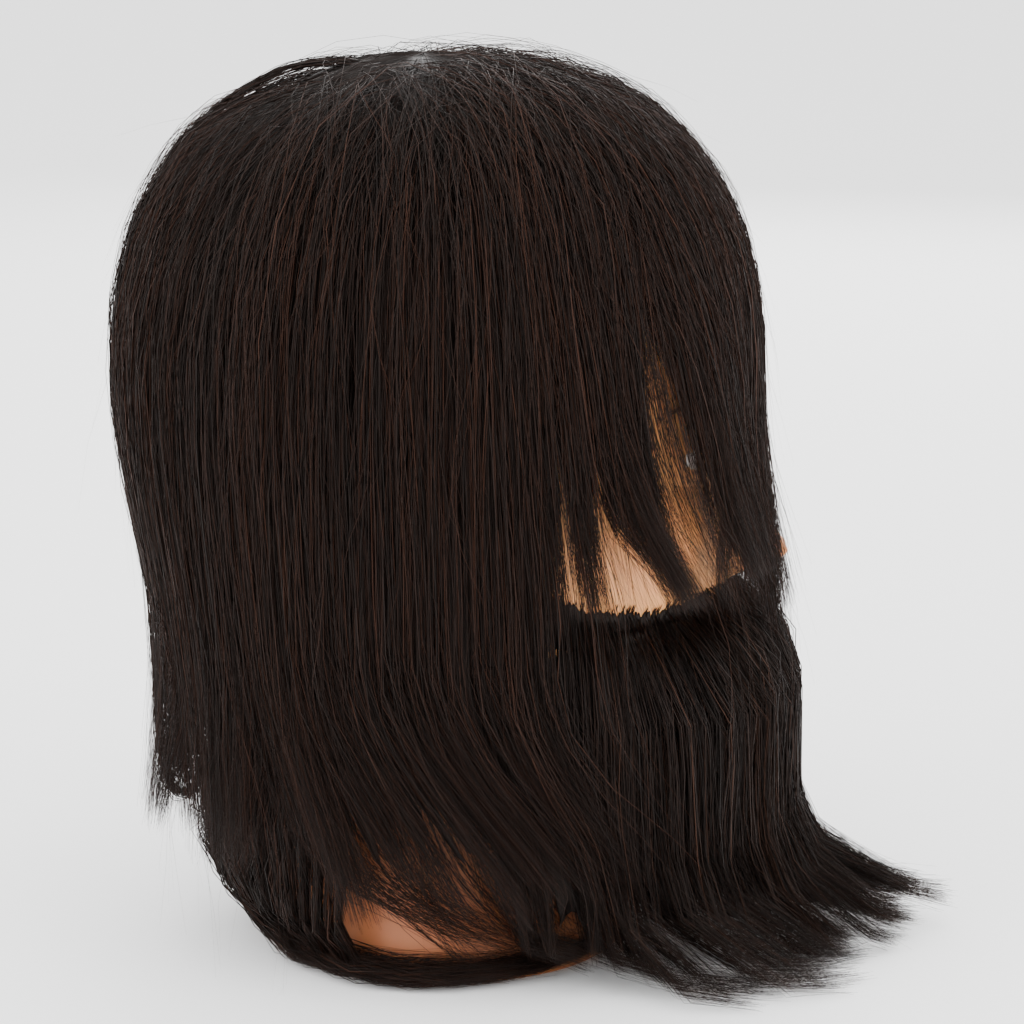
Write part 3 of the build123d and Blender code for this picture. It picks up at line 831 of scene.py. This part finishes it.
def head_hair(node, seed):
    """The strands, the strays and the underlayer of one parted section."""
    (low, high), count, hairline, end_z, end_spread, spacing, gather, close_from, under = HAIR_SECTIONS[node]
    rng = np.random.default_rng(seed)
    low, high, spacing = np.radians(low), np.radians(high), np.radians(spacing)
    root_angle = rng.uniform(low, high, count)
    root_fall = hairline * rng.random(count) ** 0.62
    broad, number, locks = in_locks(rng, root_angle, low, high, spacing)
    fine, _, _ = in_locks(rng, root_angle, low, high, spacing / FINE_LOCKS)
    layer = np.clip(1.0 - 0.60 * root_fall / hairline + rng.normal(0.0, 0.08, count), 0.15, 1.04)
    lock_end = rng.random(locks)[number]
    turn = rng.normal(0.0, np.radians(2.0), locks)[number]
    crossing = rng.random(count) < CROSSING_SHARE
    turn = turn + crossing * rng.normal(0.0, CROSSING_TURN, count)
    layer = np.where(crossing, rng.uniform(0.9, 1.08, count), layer)
    ends = end_z + end_spread * (2.2 * lock_end + rng.gamma(1.3, 1.0, count))
    if node == "hair_fringe":
        ends = ends - LONG_LOCK * np.exp(-((root_angle / LONG_LOCK_HALF) ** 2))
    end_fall = 1.0 + (HAIR_WIDEST_Z - ends) / HAIR_WIDEST_Z
    sway = np.abs(rng.normal(0.0, np.radians(0.6), count)) + np.radians(0.1)
    lock_curl = rng.normal(size=(locks, 3)) * np.array([3.0, 5.0, 0.5])
    curl = lock_curl[number] + rng.normal(0.0, 1.1, (count, 3))
    gathers = gather * rng.uniform(0.75, 1.12, locks)[number]
    paths = combed_paths(rng, root_angle, root_fall, end_fall, layer, (broad, fine, turn),
                         gathers, close_from, side_sweep, sway, curl)
    parts = [strand_mesh(paths, rng.uniform(*STRAND_RADIUS, count), rng)]
    strays = count // STRAND_SHARE
    angle = rng.uniform(low, high, strays)
    root = rng.uniform(0.05, 0.95 * hairline, strays)
    end = root + rng.uniform(0.35, 0.95, strays)
    turn = rng.normal(0.0, 0.16, strays)
    layer = rng.uniform(0.95, 1.2, strays)
    sway = np.abs(rng.normal(0.0, 0.05, strays))
    curl = rng.normal(0.0, STRAY_CURL, (strays, 3))
    parts.append(single_hairs(rng, angle, root, end, turn, layer, sway, curl, side_sweep, 0.5))
    if node.startswith("hair_temple"):
        angle = np.sign(low + high) * rng.uniform(*VEIL_ANGLES, VEIL_HAIRS)
        root = rng.uniform(0.2, 0.9, VEIL_HAIRS)
        end = rng.uniform(1.26, 1.38, VEIL_HAIRS)
        turn = rng.normal(0.0, 0.03, VEIL_HAIRS)
        layer = rng.uniform(0.5, 1.0, VEIL_HAIRS)
        sway = np.full(VEIL_HAIRS, 0.012)
        curl = rng.normal(0.0, 2.0, (VEIL_HAIRS, 3))
        parts.append(single_hairs(rng, angle, root, end, turn, layer, sway, curl, forward_sweep, 0.6))
    if node == "hair_back":
        parts += [loose_lock(rng, middle_line) for middle_line in (HOOKED_LOCK, LIFTED_LOCK)]
    sheet_angle = np.linspace(low, high, SHEET_COLUMNS)[None, :]
    under = under + rng.uniform(*SHEET_HEM, (1, SHEET_COLUMNS))
    sheet_fall = 0.004 + (under - 0.004) * np.linspace(0.0, 1.0, SHEET_ROWS)[:, None]
    groove = 0.045 * np.sin(sheet_angle * 97.0 + 2.0 * np.sin(sheet_fall * 5.0))
    groove = groove + 0.04 * np.sin(sheet_angle * 211.0 + 1.3)
    depth = SHEET_DEPTH * smoothstep((under - sheet_fall) / 0.30 + 0.10) + groove
    swept = sheet_angle + side_sweep(sheet_angle, sheet_fall)
    outside = hair_point(swept, sheet_fall, depth)
    inside = hair_point(swept, sheet_fall, depth - SHEET_THICK)
    parts.append(sheet_mesh(outside, inside))
    make_piece(node + "_strands", node, parts, hair)


for seed, node in enumerate(HAIR_SECTIONS):
    head_hair(node, 11 + seed)

# ==== Nape hair ===================================================================================
# The lowest rows of hair, implanted across the back of the neck. They hang to the table and lie on
# it, swept forward round both sides of the neck base.
NECK_AXIS_Y = 4.0
NAPE_STRANDS = 3000
NAPE_ROOTS_Z = (50.0, 112.0)
NAPE_ROOT_ANGLE = np.radians(64.0)  # half the width of the rooted patch
NAPE_CROSSING = 0.35  # share of that half from which hair crosses over to the other side
NAPE_HANG = 70.0  # how far from the neck's axis the hair hangs
NAPE_LYING = (57.5, 13.0, 12.0)  # from the axis to the lying hair behind; more beside and in front
NAPE_ENDS = (np.radians(32.0), np.radians(140.0))  # how far from straight ahead the ends lie
WISPS = 760  # fine loose hairs over both sides of the neck
WISP_ROOTS = np.radians([66.0, 132.0])
WISP_ENDS = np.radians([38.0, 80.0])
WISP_ROOTS_Z = (64.0, 96.0)
WISP_ENDS_Z = (2.0, 15.0)
WISP_RADIUS = (0.06, 0.13)


def round_neck(angle, radius, z):
    """A point at an angle from straight ahead, towards the head's right, round the neck's axis."""
    return np.stack([-radius * np.sin(angle), NECK_AXIS_Y - radius * np.cos(angle), z], axis=-1)


def lying(angle, side, uneven, z):
    """A point of the hair on the table, which lies close round the neck and wider beside it."""
    behind, beside, before = NAPE_LYING
    radius = behind + beside * np.sin(angle) ** 6 + before * np.maximum(np.cos(angle), 0.0)
    return round_neck(side * angle, radius + uneven, z)


def to_both_sides(count):
    """1 for the head's right and -1 for its left, by turns."""
    return np.where(np.arange(count) % 2 == 0, 1.0, -1.0)


def neck_wisps(rng):
    """Fine loose hairs from the lowest rows beside the neck, which fall and then sweep forward low
    over it. The hairs of one lock end near each other."""
    side = to_both_sides(WISPS)
    start = rng.uniform(*WISP_ROOTS, WISPS)
    _, number, locks = in_locks(rng, start, *WISP_ROOTS, 0.09)
    end = rng.uniform(*WISP_ENDS, locks)[number] + rng.normal(0.0, 0.10, WISPS)
    end = np.minimum(end, start - 0.35)
    root_z = rng.uniform(*WISP_ROOTS_Z, WISPS)
    end_z = rng.uniform(*WISP_ENDS_Z, locks)[number] + rng.gamma(1.5, 2.2, WISPS)
    out = rng.uniform(0.0, 6.0, WISPS)
    controls = np.stack([
        round_neck(side * start, 68.0 + out, root_z),
        round_neck(side * (start - 0.10), 67.5 + out, root_z * 0.68),
        round_neck(side * (0.62 * start + 0.38 * end), 66.5 + 0.6 * out, root_z * 0.34 + end_z * 0.5),
        round_neck(side * (0.22 * start + 0.78 * end), 66.5 + 0.3 * out, end_z + 4.0),
        round_neck(side * end, np.full(WISPS, 67.0), end_z),
    ], axis=1)
    paths = curve_at(controls, np.linspace(0.0, 4.0, STRAND_POINTS))
    return strand_mesh(paths, rng.uniform(*WISP_RADIUS, WISPS), rng, 0.4, 1.0)


def nape_hair(seed):
    """Each strand hangs from its root, bends on the table and lies along a widening arc. Strands of
    one lock end together."""
    rng = np.random.default_rng(seed)
    count = NAPE_STRANDS
    side = to_both_sides(count)
    share = rng.uniform(-NAPE_CROSSING, 1.0, count)
    root_angle = np.pi - NAPE_ROOT_ANGLE * share
    root_z = rng.uniform(*NAPE_ROOTS_Z, count) * (1.0 - 0.12 * share)
    broad, number, locks = in_locks(rng, share, -NAPE_CROSSING, 1.0, 0.055)
    lock_end = rng.random(locks)[number]
    lock_lie = rng.random(locks)[number]
    reach = np.clip(0.70 + 0.21 * share + 0.28 * lock_end - rng.gamma(1.2, 0.08, count), 0.0, 1.0)
    end_angle = NAPE_ENDS[1] + (NAPE_ENDS[0] - NAPE_ENDS[1]) * reach
    uneven = 5.0 * (lock_lie - 0.7) + rng.normal(0.0, 1.3, count)
    drift = root_angle + (np.pi - NAPE_ROOT_ANGLE * broad - root_angle) * 0.6
    floor_z = 0.8 + rng.gamma(1.5, 1.1, count) + 3.4 * rng.random(locks)[number]
    controls = np.stack([
        round_neck(side * root_angle, 53.0 + 0.05 * root_z, root_z),
        round_neck(side * (drift - 0.04), NAPE_HANG - 9.0 + rng.normal(0.0, 2.0, count), root_z * 0.80),
        round_neck(side * (drift - 0.12), NAPE_HANG + rng.normal(0.0, 2.5, count), root_z * 0.42 + 5.0),
        lying(0.92 * drift + 0.08 * end_angle, side, uneven, floor_z + 4.0),
        lying(0.48 * drift + 0.52 * end_angle, side, uneven, floor_z),
        lying(end_angle, side, uneven, floor_z + 1.5 + rng.normal(0.0, 0.8, count)),
    ], axis=1)
    paths = curve_at(controls, np.linspace(0.0, 5.0, STRAND_POINTS))
    parts = [strand_mesh(paths, rng.uniform(*STRAND_RADIUS, count), rng), neck_wisps(rng)]
    make_piece("hair_nape_strands", "hair_nape", parts, hair)


nape_hair(31)

# ==== Beard and moustache =========================================================================
# A full long beard of the same fibre, implanted from a crisp line on the cheeks down over the jaw
# and throat. It hangs to the table, spreads on it and turns up a little at the front.
BEARD_LEVELS = np.array([
    # Z, reach forward of the beard's axis, reach to the side
    (0.0, 119.0, 90.0),
    (4.0, 116.0, 88.0),
    (10.0, 104.0, 85.0),
    (18.0, 92.0, 81.0),
    (28.0, 84.5, 77.0),
    (42.0, 80.0, 74.5),
    (60.0, 79.5, 74.5),
    (84.0, 79.5, 76.0),
    (104.0, 77.0, 75.5),
    (112.0, 73.5, 75.0),
    (135.0, 66.0, 74.0),
])
BEARD_AXIS_Y = -35.0
TABLE_REACH = (102.0, 107.0)  # how far the ends lie to the side and forward of the axis
TABLE_SQUARENESS = 3.0
FRONT_WISP = 23.0  # how much further the middle locks reach
BEARD_STRANDS = 7400
ROOT_HALF_ARC = np.radians(108.0)  # how far round the face the beard is rooted
ROOT_RINGS = (8.2, 14.6)  # between which rings of the head
BEARD_HALF_ARC = np.radians(112.0)
SKIN_LIFT = 7.0  # how far a hair springs from the skin before it falls
SIDE_RISE = 14.0  # how much higher the ends at the sides stay
INWARD_TURN = 0.32  # how far the hairs at the sides turn in under the jaw
SHORTER_SHARE = 0.20  # share of the hairs that end higher up
SHORTER_BY = 50.0
TABLE_ENDS_Z = 30.0  # hairs that end lower than this lie on the table
MOUSTACHE_STRANDS = 1000
# The line the beard is implanted up to: its height at each of these Y
CHEEK_LINE_Y = (-112.0, -99.0, -84.0, -67.0, -48.0, -25.0, -8.0)
CHEEK_LINE_Z = (117.0, 117.5, 116.5, 114.5, 118.5, 129.0, 137.0)
EDGE_BAND = 5.0  # depth of the denser rows along the cheek line
INNER_SHARE = 0.36  # share of the roots kept below them
STUB_BAND = 0.7  # depth of the row whose roots stand up
STUB_RADIUS = (0.16, 0.26)
BAND_COLUMNS = 190
BAND_TURNS = (0.36, 1.60)  # where the rooted band starts and ends, as turns from straight ahead
BAND_EDGE = (-1.7, 0.9)  # how far its ragged edge lies over the cheek line
BAND_RINGS = 1.1  # how many of the head's rings it is deep
FORWARD_TURN = 0.42  # how far round the pile the ends of the side locks turn forward
MOUTH_HALF_WIDE = 19.0
MOUTH_HALF_HIGH = 8.5
LIPS_Y = -80.0  # the lips lie forward of this
CHIN_HALF = 27.0
BEARD_ARCS = {"beard_right": (22.0, 96.0), "beard_left": (-96.0, -22.0), "beard_chin": (-22.0, 22.0)}
BEARD_SHEET_ROWS, BEARD_SHEET_COLUMNS = 22, 50  # points of each piece's underlayer
BEARD_HEM_Z = (16.0, 30.0)
SHEET_TOP = (101.0, 110.0)  # top of the underlayer below the mouth and on the cheeks
LIP_EDGE_Z = 105.0
MOUSTACHE_TOP = 118.0
MOUSTACHE_HALF = 28.0
BEARD_COLOURS = [
    (0.00, (0.0036, 0.0024, 0.0021)),
    (0.55, (0.0072, 0.0043, 0.0036)),
    (0.85, (0.0150, 0.0078, 0.0056)),
    (1.00, (0.0360, 0.0150, 0.0085)),
]
beard = hair_finish("dark_brown_beard", BEARD_COLOURS, 1.2, 0.42)


def beard_point(angle, z, layer):
    """A point in the hanging beard: a half ellipse about the beard's axis at each level. Layer is 0
    on the axis and 1 on the outside."""
    forward = np.interp(z, BEARD_LEVELS[:, 0], BEARD_LEVELS[:, 1])
    sideways = np.interp(z, BEARD_LEVELS[:, 0], BEARD_LEVELS[:, 2])
    y = BEARD_AXIS_Y - forward * layer * np.cos(angle)
    return np.stack([-sideways * layer * np.sin(angle), y, z], axis=-1)


def beard_roots(rng, count):
    """Random points of the face below the cheek line, leaving out the lips."""
    tries = count * 5
    turn = rng.uniform(-ROOT_HALF_ARC, ROOT_HALF_ARC, tries)
    ring = rng.uniform(*ROOT_RINGS, tries)
    roots = with_face(head_point(turn, ring))
    x, y, z = roots.T
    line = np.interp(y, CHEEK_LINE_Y, CHEEK_LINE_Z)
    lips = (np.abs(x) < MOUTH_HALF_WIDE) & (np.abs(z - MOUTH_Z) < MOUTH_HALF_HIGH) & (y < LIPS_Y)
    moustache = (np.abs(x) < MOUTH_HALF_WIDE + 6.0) & (z > MOUTH_Z) & (y < LIPS_Y)
    inner = (z < line - EDGE_BAND) & (rng.random(tries) > INNER_SHARE)
    keep = (z < line + rng.normal(0.0, 0.35, tries)) & ~inner & ~lips & ~moustache & (y < 0.0)
    return roots[keep][:count]


def beard_paths(rng, roots, lock_spacing, low_end):
    """Each hair leaves the skin outwards, joins its place in the hanging beard and falls along it.
    The last part of a long one lies on the table, carried outwards, and up at the front."""
    count = len(roots)
    x, y, z = roots.T
    angle = np.clip(np.arctan2(-x, BEARD_AXIS_Y - y), -BEARD_HALF_ARC, BEARD_HALF_ARC)
    broad, number, locks = in_locks(rng, angle, -2.0, 2.0, np.radians(lock_spacing))
    fine, _, _ = in_locks(rng, angle, -2.0, 2.0, np.radians(lock_spacing / FINE_LOCKS))
    down = np.linspace(0.0, 1.0, STRAND_POINTS)[None, :]
    height = np.clip((z - 55.0) / 62.0, 0.0, 1.0)
    middle = np.exp(-((angle / 0.55) ** 2))
    layer = 0.50 + 0.47 * height + 0.34 * middle * (1.0 - height) + rng.normal(0.0, 0.05, count)
    layer = np.clip(layer, 0.3, 1.02)
    rise = SIDE_RISE * rising(np.abs(angle), 1.2, 0.6)
    ends = low_end + 7.0 + rise + 5.0 * rng.random(locks)[number] + rng.gamma(1.2, 2.5, count)
    shorter = rng.random(count) < SHORTER_SHARE
    ends = np.minimum(ends + shorter * rng.uniform(0.0, SHORTER_BY, count), z - 12.0)
    turn = rng.normal(0.0, np.radians(1.5), locks)[number]
    crossing = rng.random(count) < CROSSING_SHARE
    turn = turn + crossing * rng.normal(0.0, CROSSING_TURN, count)
    way = angle[:, None] + (fine - angle)[:, None] * FINE_PULL * smoothstep(down * 2.0)
    way = way + (broad - fine)[:, None] * 0.50 * rising(down, 0.45, 0.55) + turn[:, None] * down
    way = way + np.radians(0.5) * wave(rng, count, 0.4, 1.5)
    inwards = np.sign(angle) * INWARD_TURN * rising(np.abs(angle), 1.0, 0.8)
    way = way - inwards[:, None] * rising(down, 0.3, 0.6)
    level = z[:, None] + (ends - z)[:, None] * np.minimum(down / 0.86, 1.0)
    spread = layer[:, None] * (1.0 + 0.015 * wave(rng, count, 0.5, 1.8))
    hanging = beard_point(way, level, spread)
    join = smoothstep(down / (0.30 - 0.13 * middle[:, None]))[..., None]
    start = roots[:, None, :] * np.array([1.0, 1.0, 0.0]) + level[..., None] * np.array([0.0, 0.0, 1.0])
    outward = np.stack([-np.sin(angle), -np.cos(angle), np.zeros(count)], -1)[:, None, :]
    away = SKIN_LIFT * smoothstep(down / 0.12)[..., None] * outward
    paths = (start + away) * (1.0 - join) + hanging * join
    front = np.exp(-((broad / 0.34) ** 2))
    beside = TABLE_REACH[0] - 22.0 * rising(np.abs(broad), 1.15, 0.45)
    share = (0.86 + 0.17 * rng.random(locks)[number]) * (0.72 + 0.28 * layer)
    turned = FORWARD_TURN * rising(np.abs(broad), 0.15, 0.8)[:, None] * rising(down, 0.70, 0.30)
    goal = (broad - 0.40 * broad * front)[:, None] - np.sign(broad)[:, None] * turned
    aside = np.abs(np.sin(goal) / beside[:, None]) ** TABLE_SQUARENESS
    ahead = np.abs(np.cos(goal) / TABLE_REACH[1]) ** TABLE_SQUARENESS
    reach = (aside + ahead) ** (-1.0 / TABLE_SQUARENESS) * share[:, None] + (FRONT_WISP * front)[:, None]
    rest = 1.0 + 8.5 * front + 0.70 * rise + rng.gamma(1.3, 1.0, count)
    rest = np.broadcast_to(rest[:, None], goal.shape)
    tip = np.stack([-reach * np.sin(goal), BEARD_AXIS_Y - reach * np.cos(goal), rest], axis=-1)
    tip = tip + rng.normal(0.0, 1.3, (count, 1, 3))
    long = (ends < TABLE_ENDS_Z)[:, None, None]
    slide = rising(down, 0.69, 0.28)[..., None] * long
    paths = paths * (1.0 - slide) + tip * slide
    return paths + rising(down, 0.75, 0.25)[..., None] * rng.normal(size=(count, 1, 3))


def rooted_band(rng, low, high):
    """The closest rows of roots, as a thin sheet just over the skin. Its top follows the cheek line
    with a fine ragged edge, and it runs down under the hairs."""
    turn = np.linspace(low, high, BAND_COLUMNS)[None, :]
    rings = np.linspace(8.2, 12.4, 280)[:, None]
    skin = with_face(head_point(turn, rings))
    line = np.interp(skin[..., 1], CHEEK_LINE_Y, CHEEK_LINE_Z) + rng.uniform(*BAND_EDGE, turn.shape)
    first = rings[np.argmax(skin[..., 2] < line, axis=0), 0]
    surface = with_face(head_point(turn, first[None, :] + BAND_RINGS * np.linspace(0.0, 1.0, 6)[:, None]))
    outward = (surface - np.array([0.0, BEARD_AXIS_Y, 0.0])) * np.array([1.0, 1.0, 0.0])
    outward /= np.linalg.norm(outward, axis=-1, keepdims=True)
    lift = 0.5 + 0.9 * np.linspace(0.0, 1.0, 6)[:, None, None]
    return sheet_mesh(surface + lift * outward, surface - 0.5 * outward)


def root_stubs(rng, roots):
    """The stiff starts of the hairs along the cheek line, which stand up and outwards from the skin
    before they fall."""
    _, y, z = roots.T
    edge = np.interp(y, CHEEK_LINE_Y, CHEEK_LINE_Z) - z < STUB_BAND
    start = roots[edge]
    count = len(start)
    outward = start - np.array([0.0, BEARD_AXIS_Y, 0.0])
    outward[:, 2] = 0.0
    outward /= np.linalg.norm(outward, axis=1, keepdims=True)
    up = np.array([0.0, 0.0, 1.0]) * rng.uniform(1.6, 3.4, (count, 1))
    out = np.linspace(0.0, 1.0, 4)[None, :, None]
    paths = start[:, None] + out * (1.6 * outward + up)[:, None]
    return strand_mesh(paths, rng.uniform(*STUB_RADIUS, count), rng, 0.0, 0.5)


def beard_pieces(seed):
    """The beard's hairs, shared out to its right, left and chin pieces by where they are rooted."""
    rng = np.random.default_rng(seed)
    roots = beard_roots(rng, BEARD_STRANDS)
    paths = beard_paths(rng, roots, 7.0, 0.0)
    owners = {
        "beard_right": roots[:, 0] < -CHIN_HALF,
        "beard_left": roots[:, 0] > CHIN_HALF,
        "beard_chin": np.abs(roots[:, 0]) <= CHIN_HALF,
    }
    for node, mine in owners.items():
        count = int(mine.sum())
        parts = [strand_mesh(paths[mine], rng.uniform(*STRAND_RADIUS, count), rng)]
        parts.append(root_stubs(rng, roots[mine]))
        if node == "beard_right":
            parts.append(rooted_band(rng, *BAND_TURNS))
        elif node == "beard_left":
            parts.append(rooted_band(rng, -BAND_TURNS[1], -BAND_TURNS[0]))
        low, high = np.radians(BEARD_ARCS[node])
        sheet_angle = np.linspace(low, high, BEARD_SHEET_COLUMNS)[None, :]
        top = SHEET_TOP[0] + (SHEET_TOP[1] - SHEET_TOP[0]) * rising(np.abs(sheet_angle), 0.40, 0.2)
        hem = rng.uniform(*BEARD_HEM_Z, (1, BEARD_SHEET_COLUMNS))
        sheet_z = top + (hem - top) * np.linspace(0.0, 1.0, BEARD_SHEET_ROWS)[:, None]
        groove = 0.012 * np.sin(sheet_angle * 120.0 + 2.0 * np.sin(sheet_z * 0.05))
        depth = 0.74 - 0.04 * rising(sheet_z, 92.0, 12.0) + groove
        depth = depth + 0.12 * np.exp(-((sheet_angle / 0.42) ** 2))
        outside = beard_point(sheet_angle, sheet_z, depth)
        inside = beard_point(sheet_angle, sheet_z, depth - 0.03)
        parts.append(sheet_mesh(outside, inside))
        make_piece(node + "_strands", node, parts, beard)


def moustache_piece(node, side, seed):
    """Hairs rooted on the upper lip that part in the middle, fall over the mouth and join the beard."""
    rng = np.random.default_rng(seed)
    tries = MOUSTACHE_STRANDS * 8
    turn = -side * rng.uniform(0.0, 0.6, tries)
    roots = with_face(head_point(turn, rng.uniform(8.8, 10.4, tries)))
    x, _, z = roots.T
    under_nose = (z > LIP_EDGE_Z) & (z < MOUSTACHE_TOP) & (side * x < MOUSTACHE_HALF)
    roots = roots[under_nose][:MOUSTACHE_STRANDS]
    count = len(roots)
    paths = beard_paths(rng, roots, 5.0, 4.0)
    strands = strand_mesh(paths, rng.uniform(*STRAND_RADIUS, count), rng)
    make_piece(node + "_strands", node, [strands], beard)


beard_pieces(41)
moustache_piece("moustache_left", 1.0, 42)
moustache_piece("moustache_right", -1.0, 43)

# ==== Eyebrows and eyelashes ======================================================================
# The brows are short hairs punched into the vinyl and combed outwards along an arch. Each lash strip
# is a row of longer hairs that curve up from the edge of the upper lid.
BROW_MIDDLE = (31.0, 180.0)
BROW_HALF_LONG = 18.0
BROW_HAIRS = 420
BROW_RADIUS = (0.07, 0.12)
LASHES = 54
LASH_LONG = 7.5
LASH_RADIUS = (0.08, 0.12)
LASH_SPREAD = 11.2  # half the length of the row


def brow_piece(name, side, seed):
    """Brow hairs rooted in an arch that thins outwards. Each follows the skin and lifts a little."""
    rng = np.random.default_rng(seed)
    tries = BROW_HAIRS * 12
    turn = -side * rng.uniform(0.10, 0.95, tries)
    ring = rng.uniform(5.5, 7.2, tries)
    x, _, z = with_face(head_point(turn, ring)).T
    place = (side * x - BROW_MIDDLE[0]) / BROW_HALF_LONG
    arch = BROW_MIDDLE[1] + 1.6 - 3.2 * (place - 0.25) ** 2
    half_high = 2.8 - 2.0 * rising(place, -0.1, 1.1)
    rooted = (np.abs(place) < 1.0) & (np.abs(z - arch) < half_high)
    turn, ring, place = turn[rooted][:BROW_HAIRS], ring[rooted][:BROW_HAIRS], place[rooted][:BROW_HAIRS]
    count = len(turn)
    out = np.linspace(0.0, 1.0, 5)[None, :]
    long = rng.uniform(0.07, 0.12, count)[:, None]
    rise = (0.12 - 0.17 * rising(place, -1.0, 1.3) + rng.normal(0.0, 0.02, count))[:, None]
    paths = with_face(head_point(turn[:, None] - side * long * out, ring[:, None] - rise * out))
    paths[..., 1] -= 0.1 + 1.1 * np.sin(out * 1.9) * rng.uniform(0.5, 1.0, (count, 1))
    hair_strip(f"eyebrow_{name}", paths, rng.uniform(*BROW_RADIUS, count), rng)


def lash_piece(name, side, seed):
    """Lashes in a row along the lid's edge, fanned out sideways and curved upwards."""
    rng = np.random.default_rng(seed)
    across = np.linspace(-LASH_SPREAD, LASH_SPREAD, LASHES) + rng.normal(0.0, 0.12, LASHES)
    up = LID_HALF_OPEN * (1.0 - (across / LID_HALF_WIDTH) ** 2) - 0.2
    lid_y = EYE_Y - np.sqrt((EYE_BALL + LID_THICK) ** 2 - across**2 - up**2)
    out = np.linspace(0.0, 1.0, 7)[None, :]
    long = LASH_LONG * rng.uniform(0.75, 1.0, (LASHES, 1))
    fan = (across / LASH_SPREAD)[:, None] * 0.45 + rng.normal(0.0, 0.06, (LASHES, 1))
    x = side * EYE_X + across[:, None] + long * fan * out
    y = lid_y[:, None] + 0.4 - long * 0.72 * np.sin(out * 1.35)
    z = EYE_Z + up[:, None] + long * (0.62 * out**2 - 0.18 * out)
    hair_strip(f"eyelashes_{name}", np.stack([x, y, z], -1), rng.uniform(*LASH_RADIUS, LASHES), rng)


def hair_strip(node, paths, thickness, rng):
    """The strands as the one piece of a brow or lash node."""
    make_piece(node + "_hairs", node, [strand_mesh(paths, thickness, rng, 0.0, 0.6)], hair)


for name, side in (("left", 1.0), ("right", -1.0)):
    brow_piece(name, side, 51 + int(side))
    lash_piece(name, side, 61 + int(side))
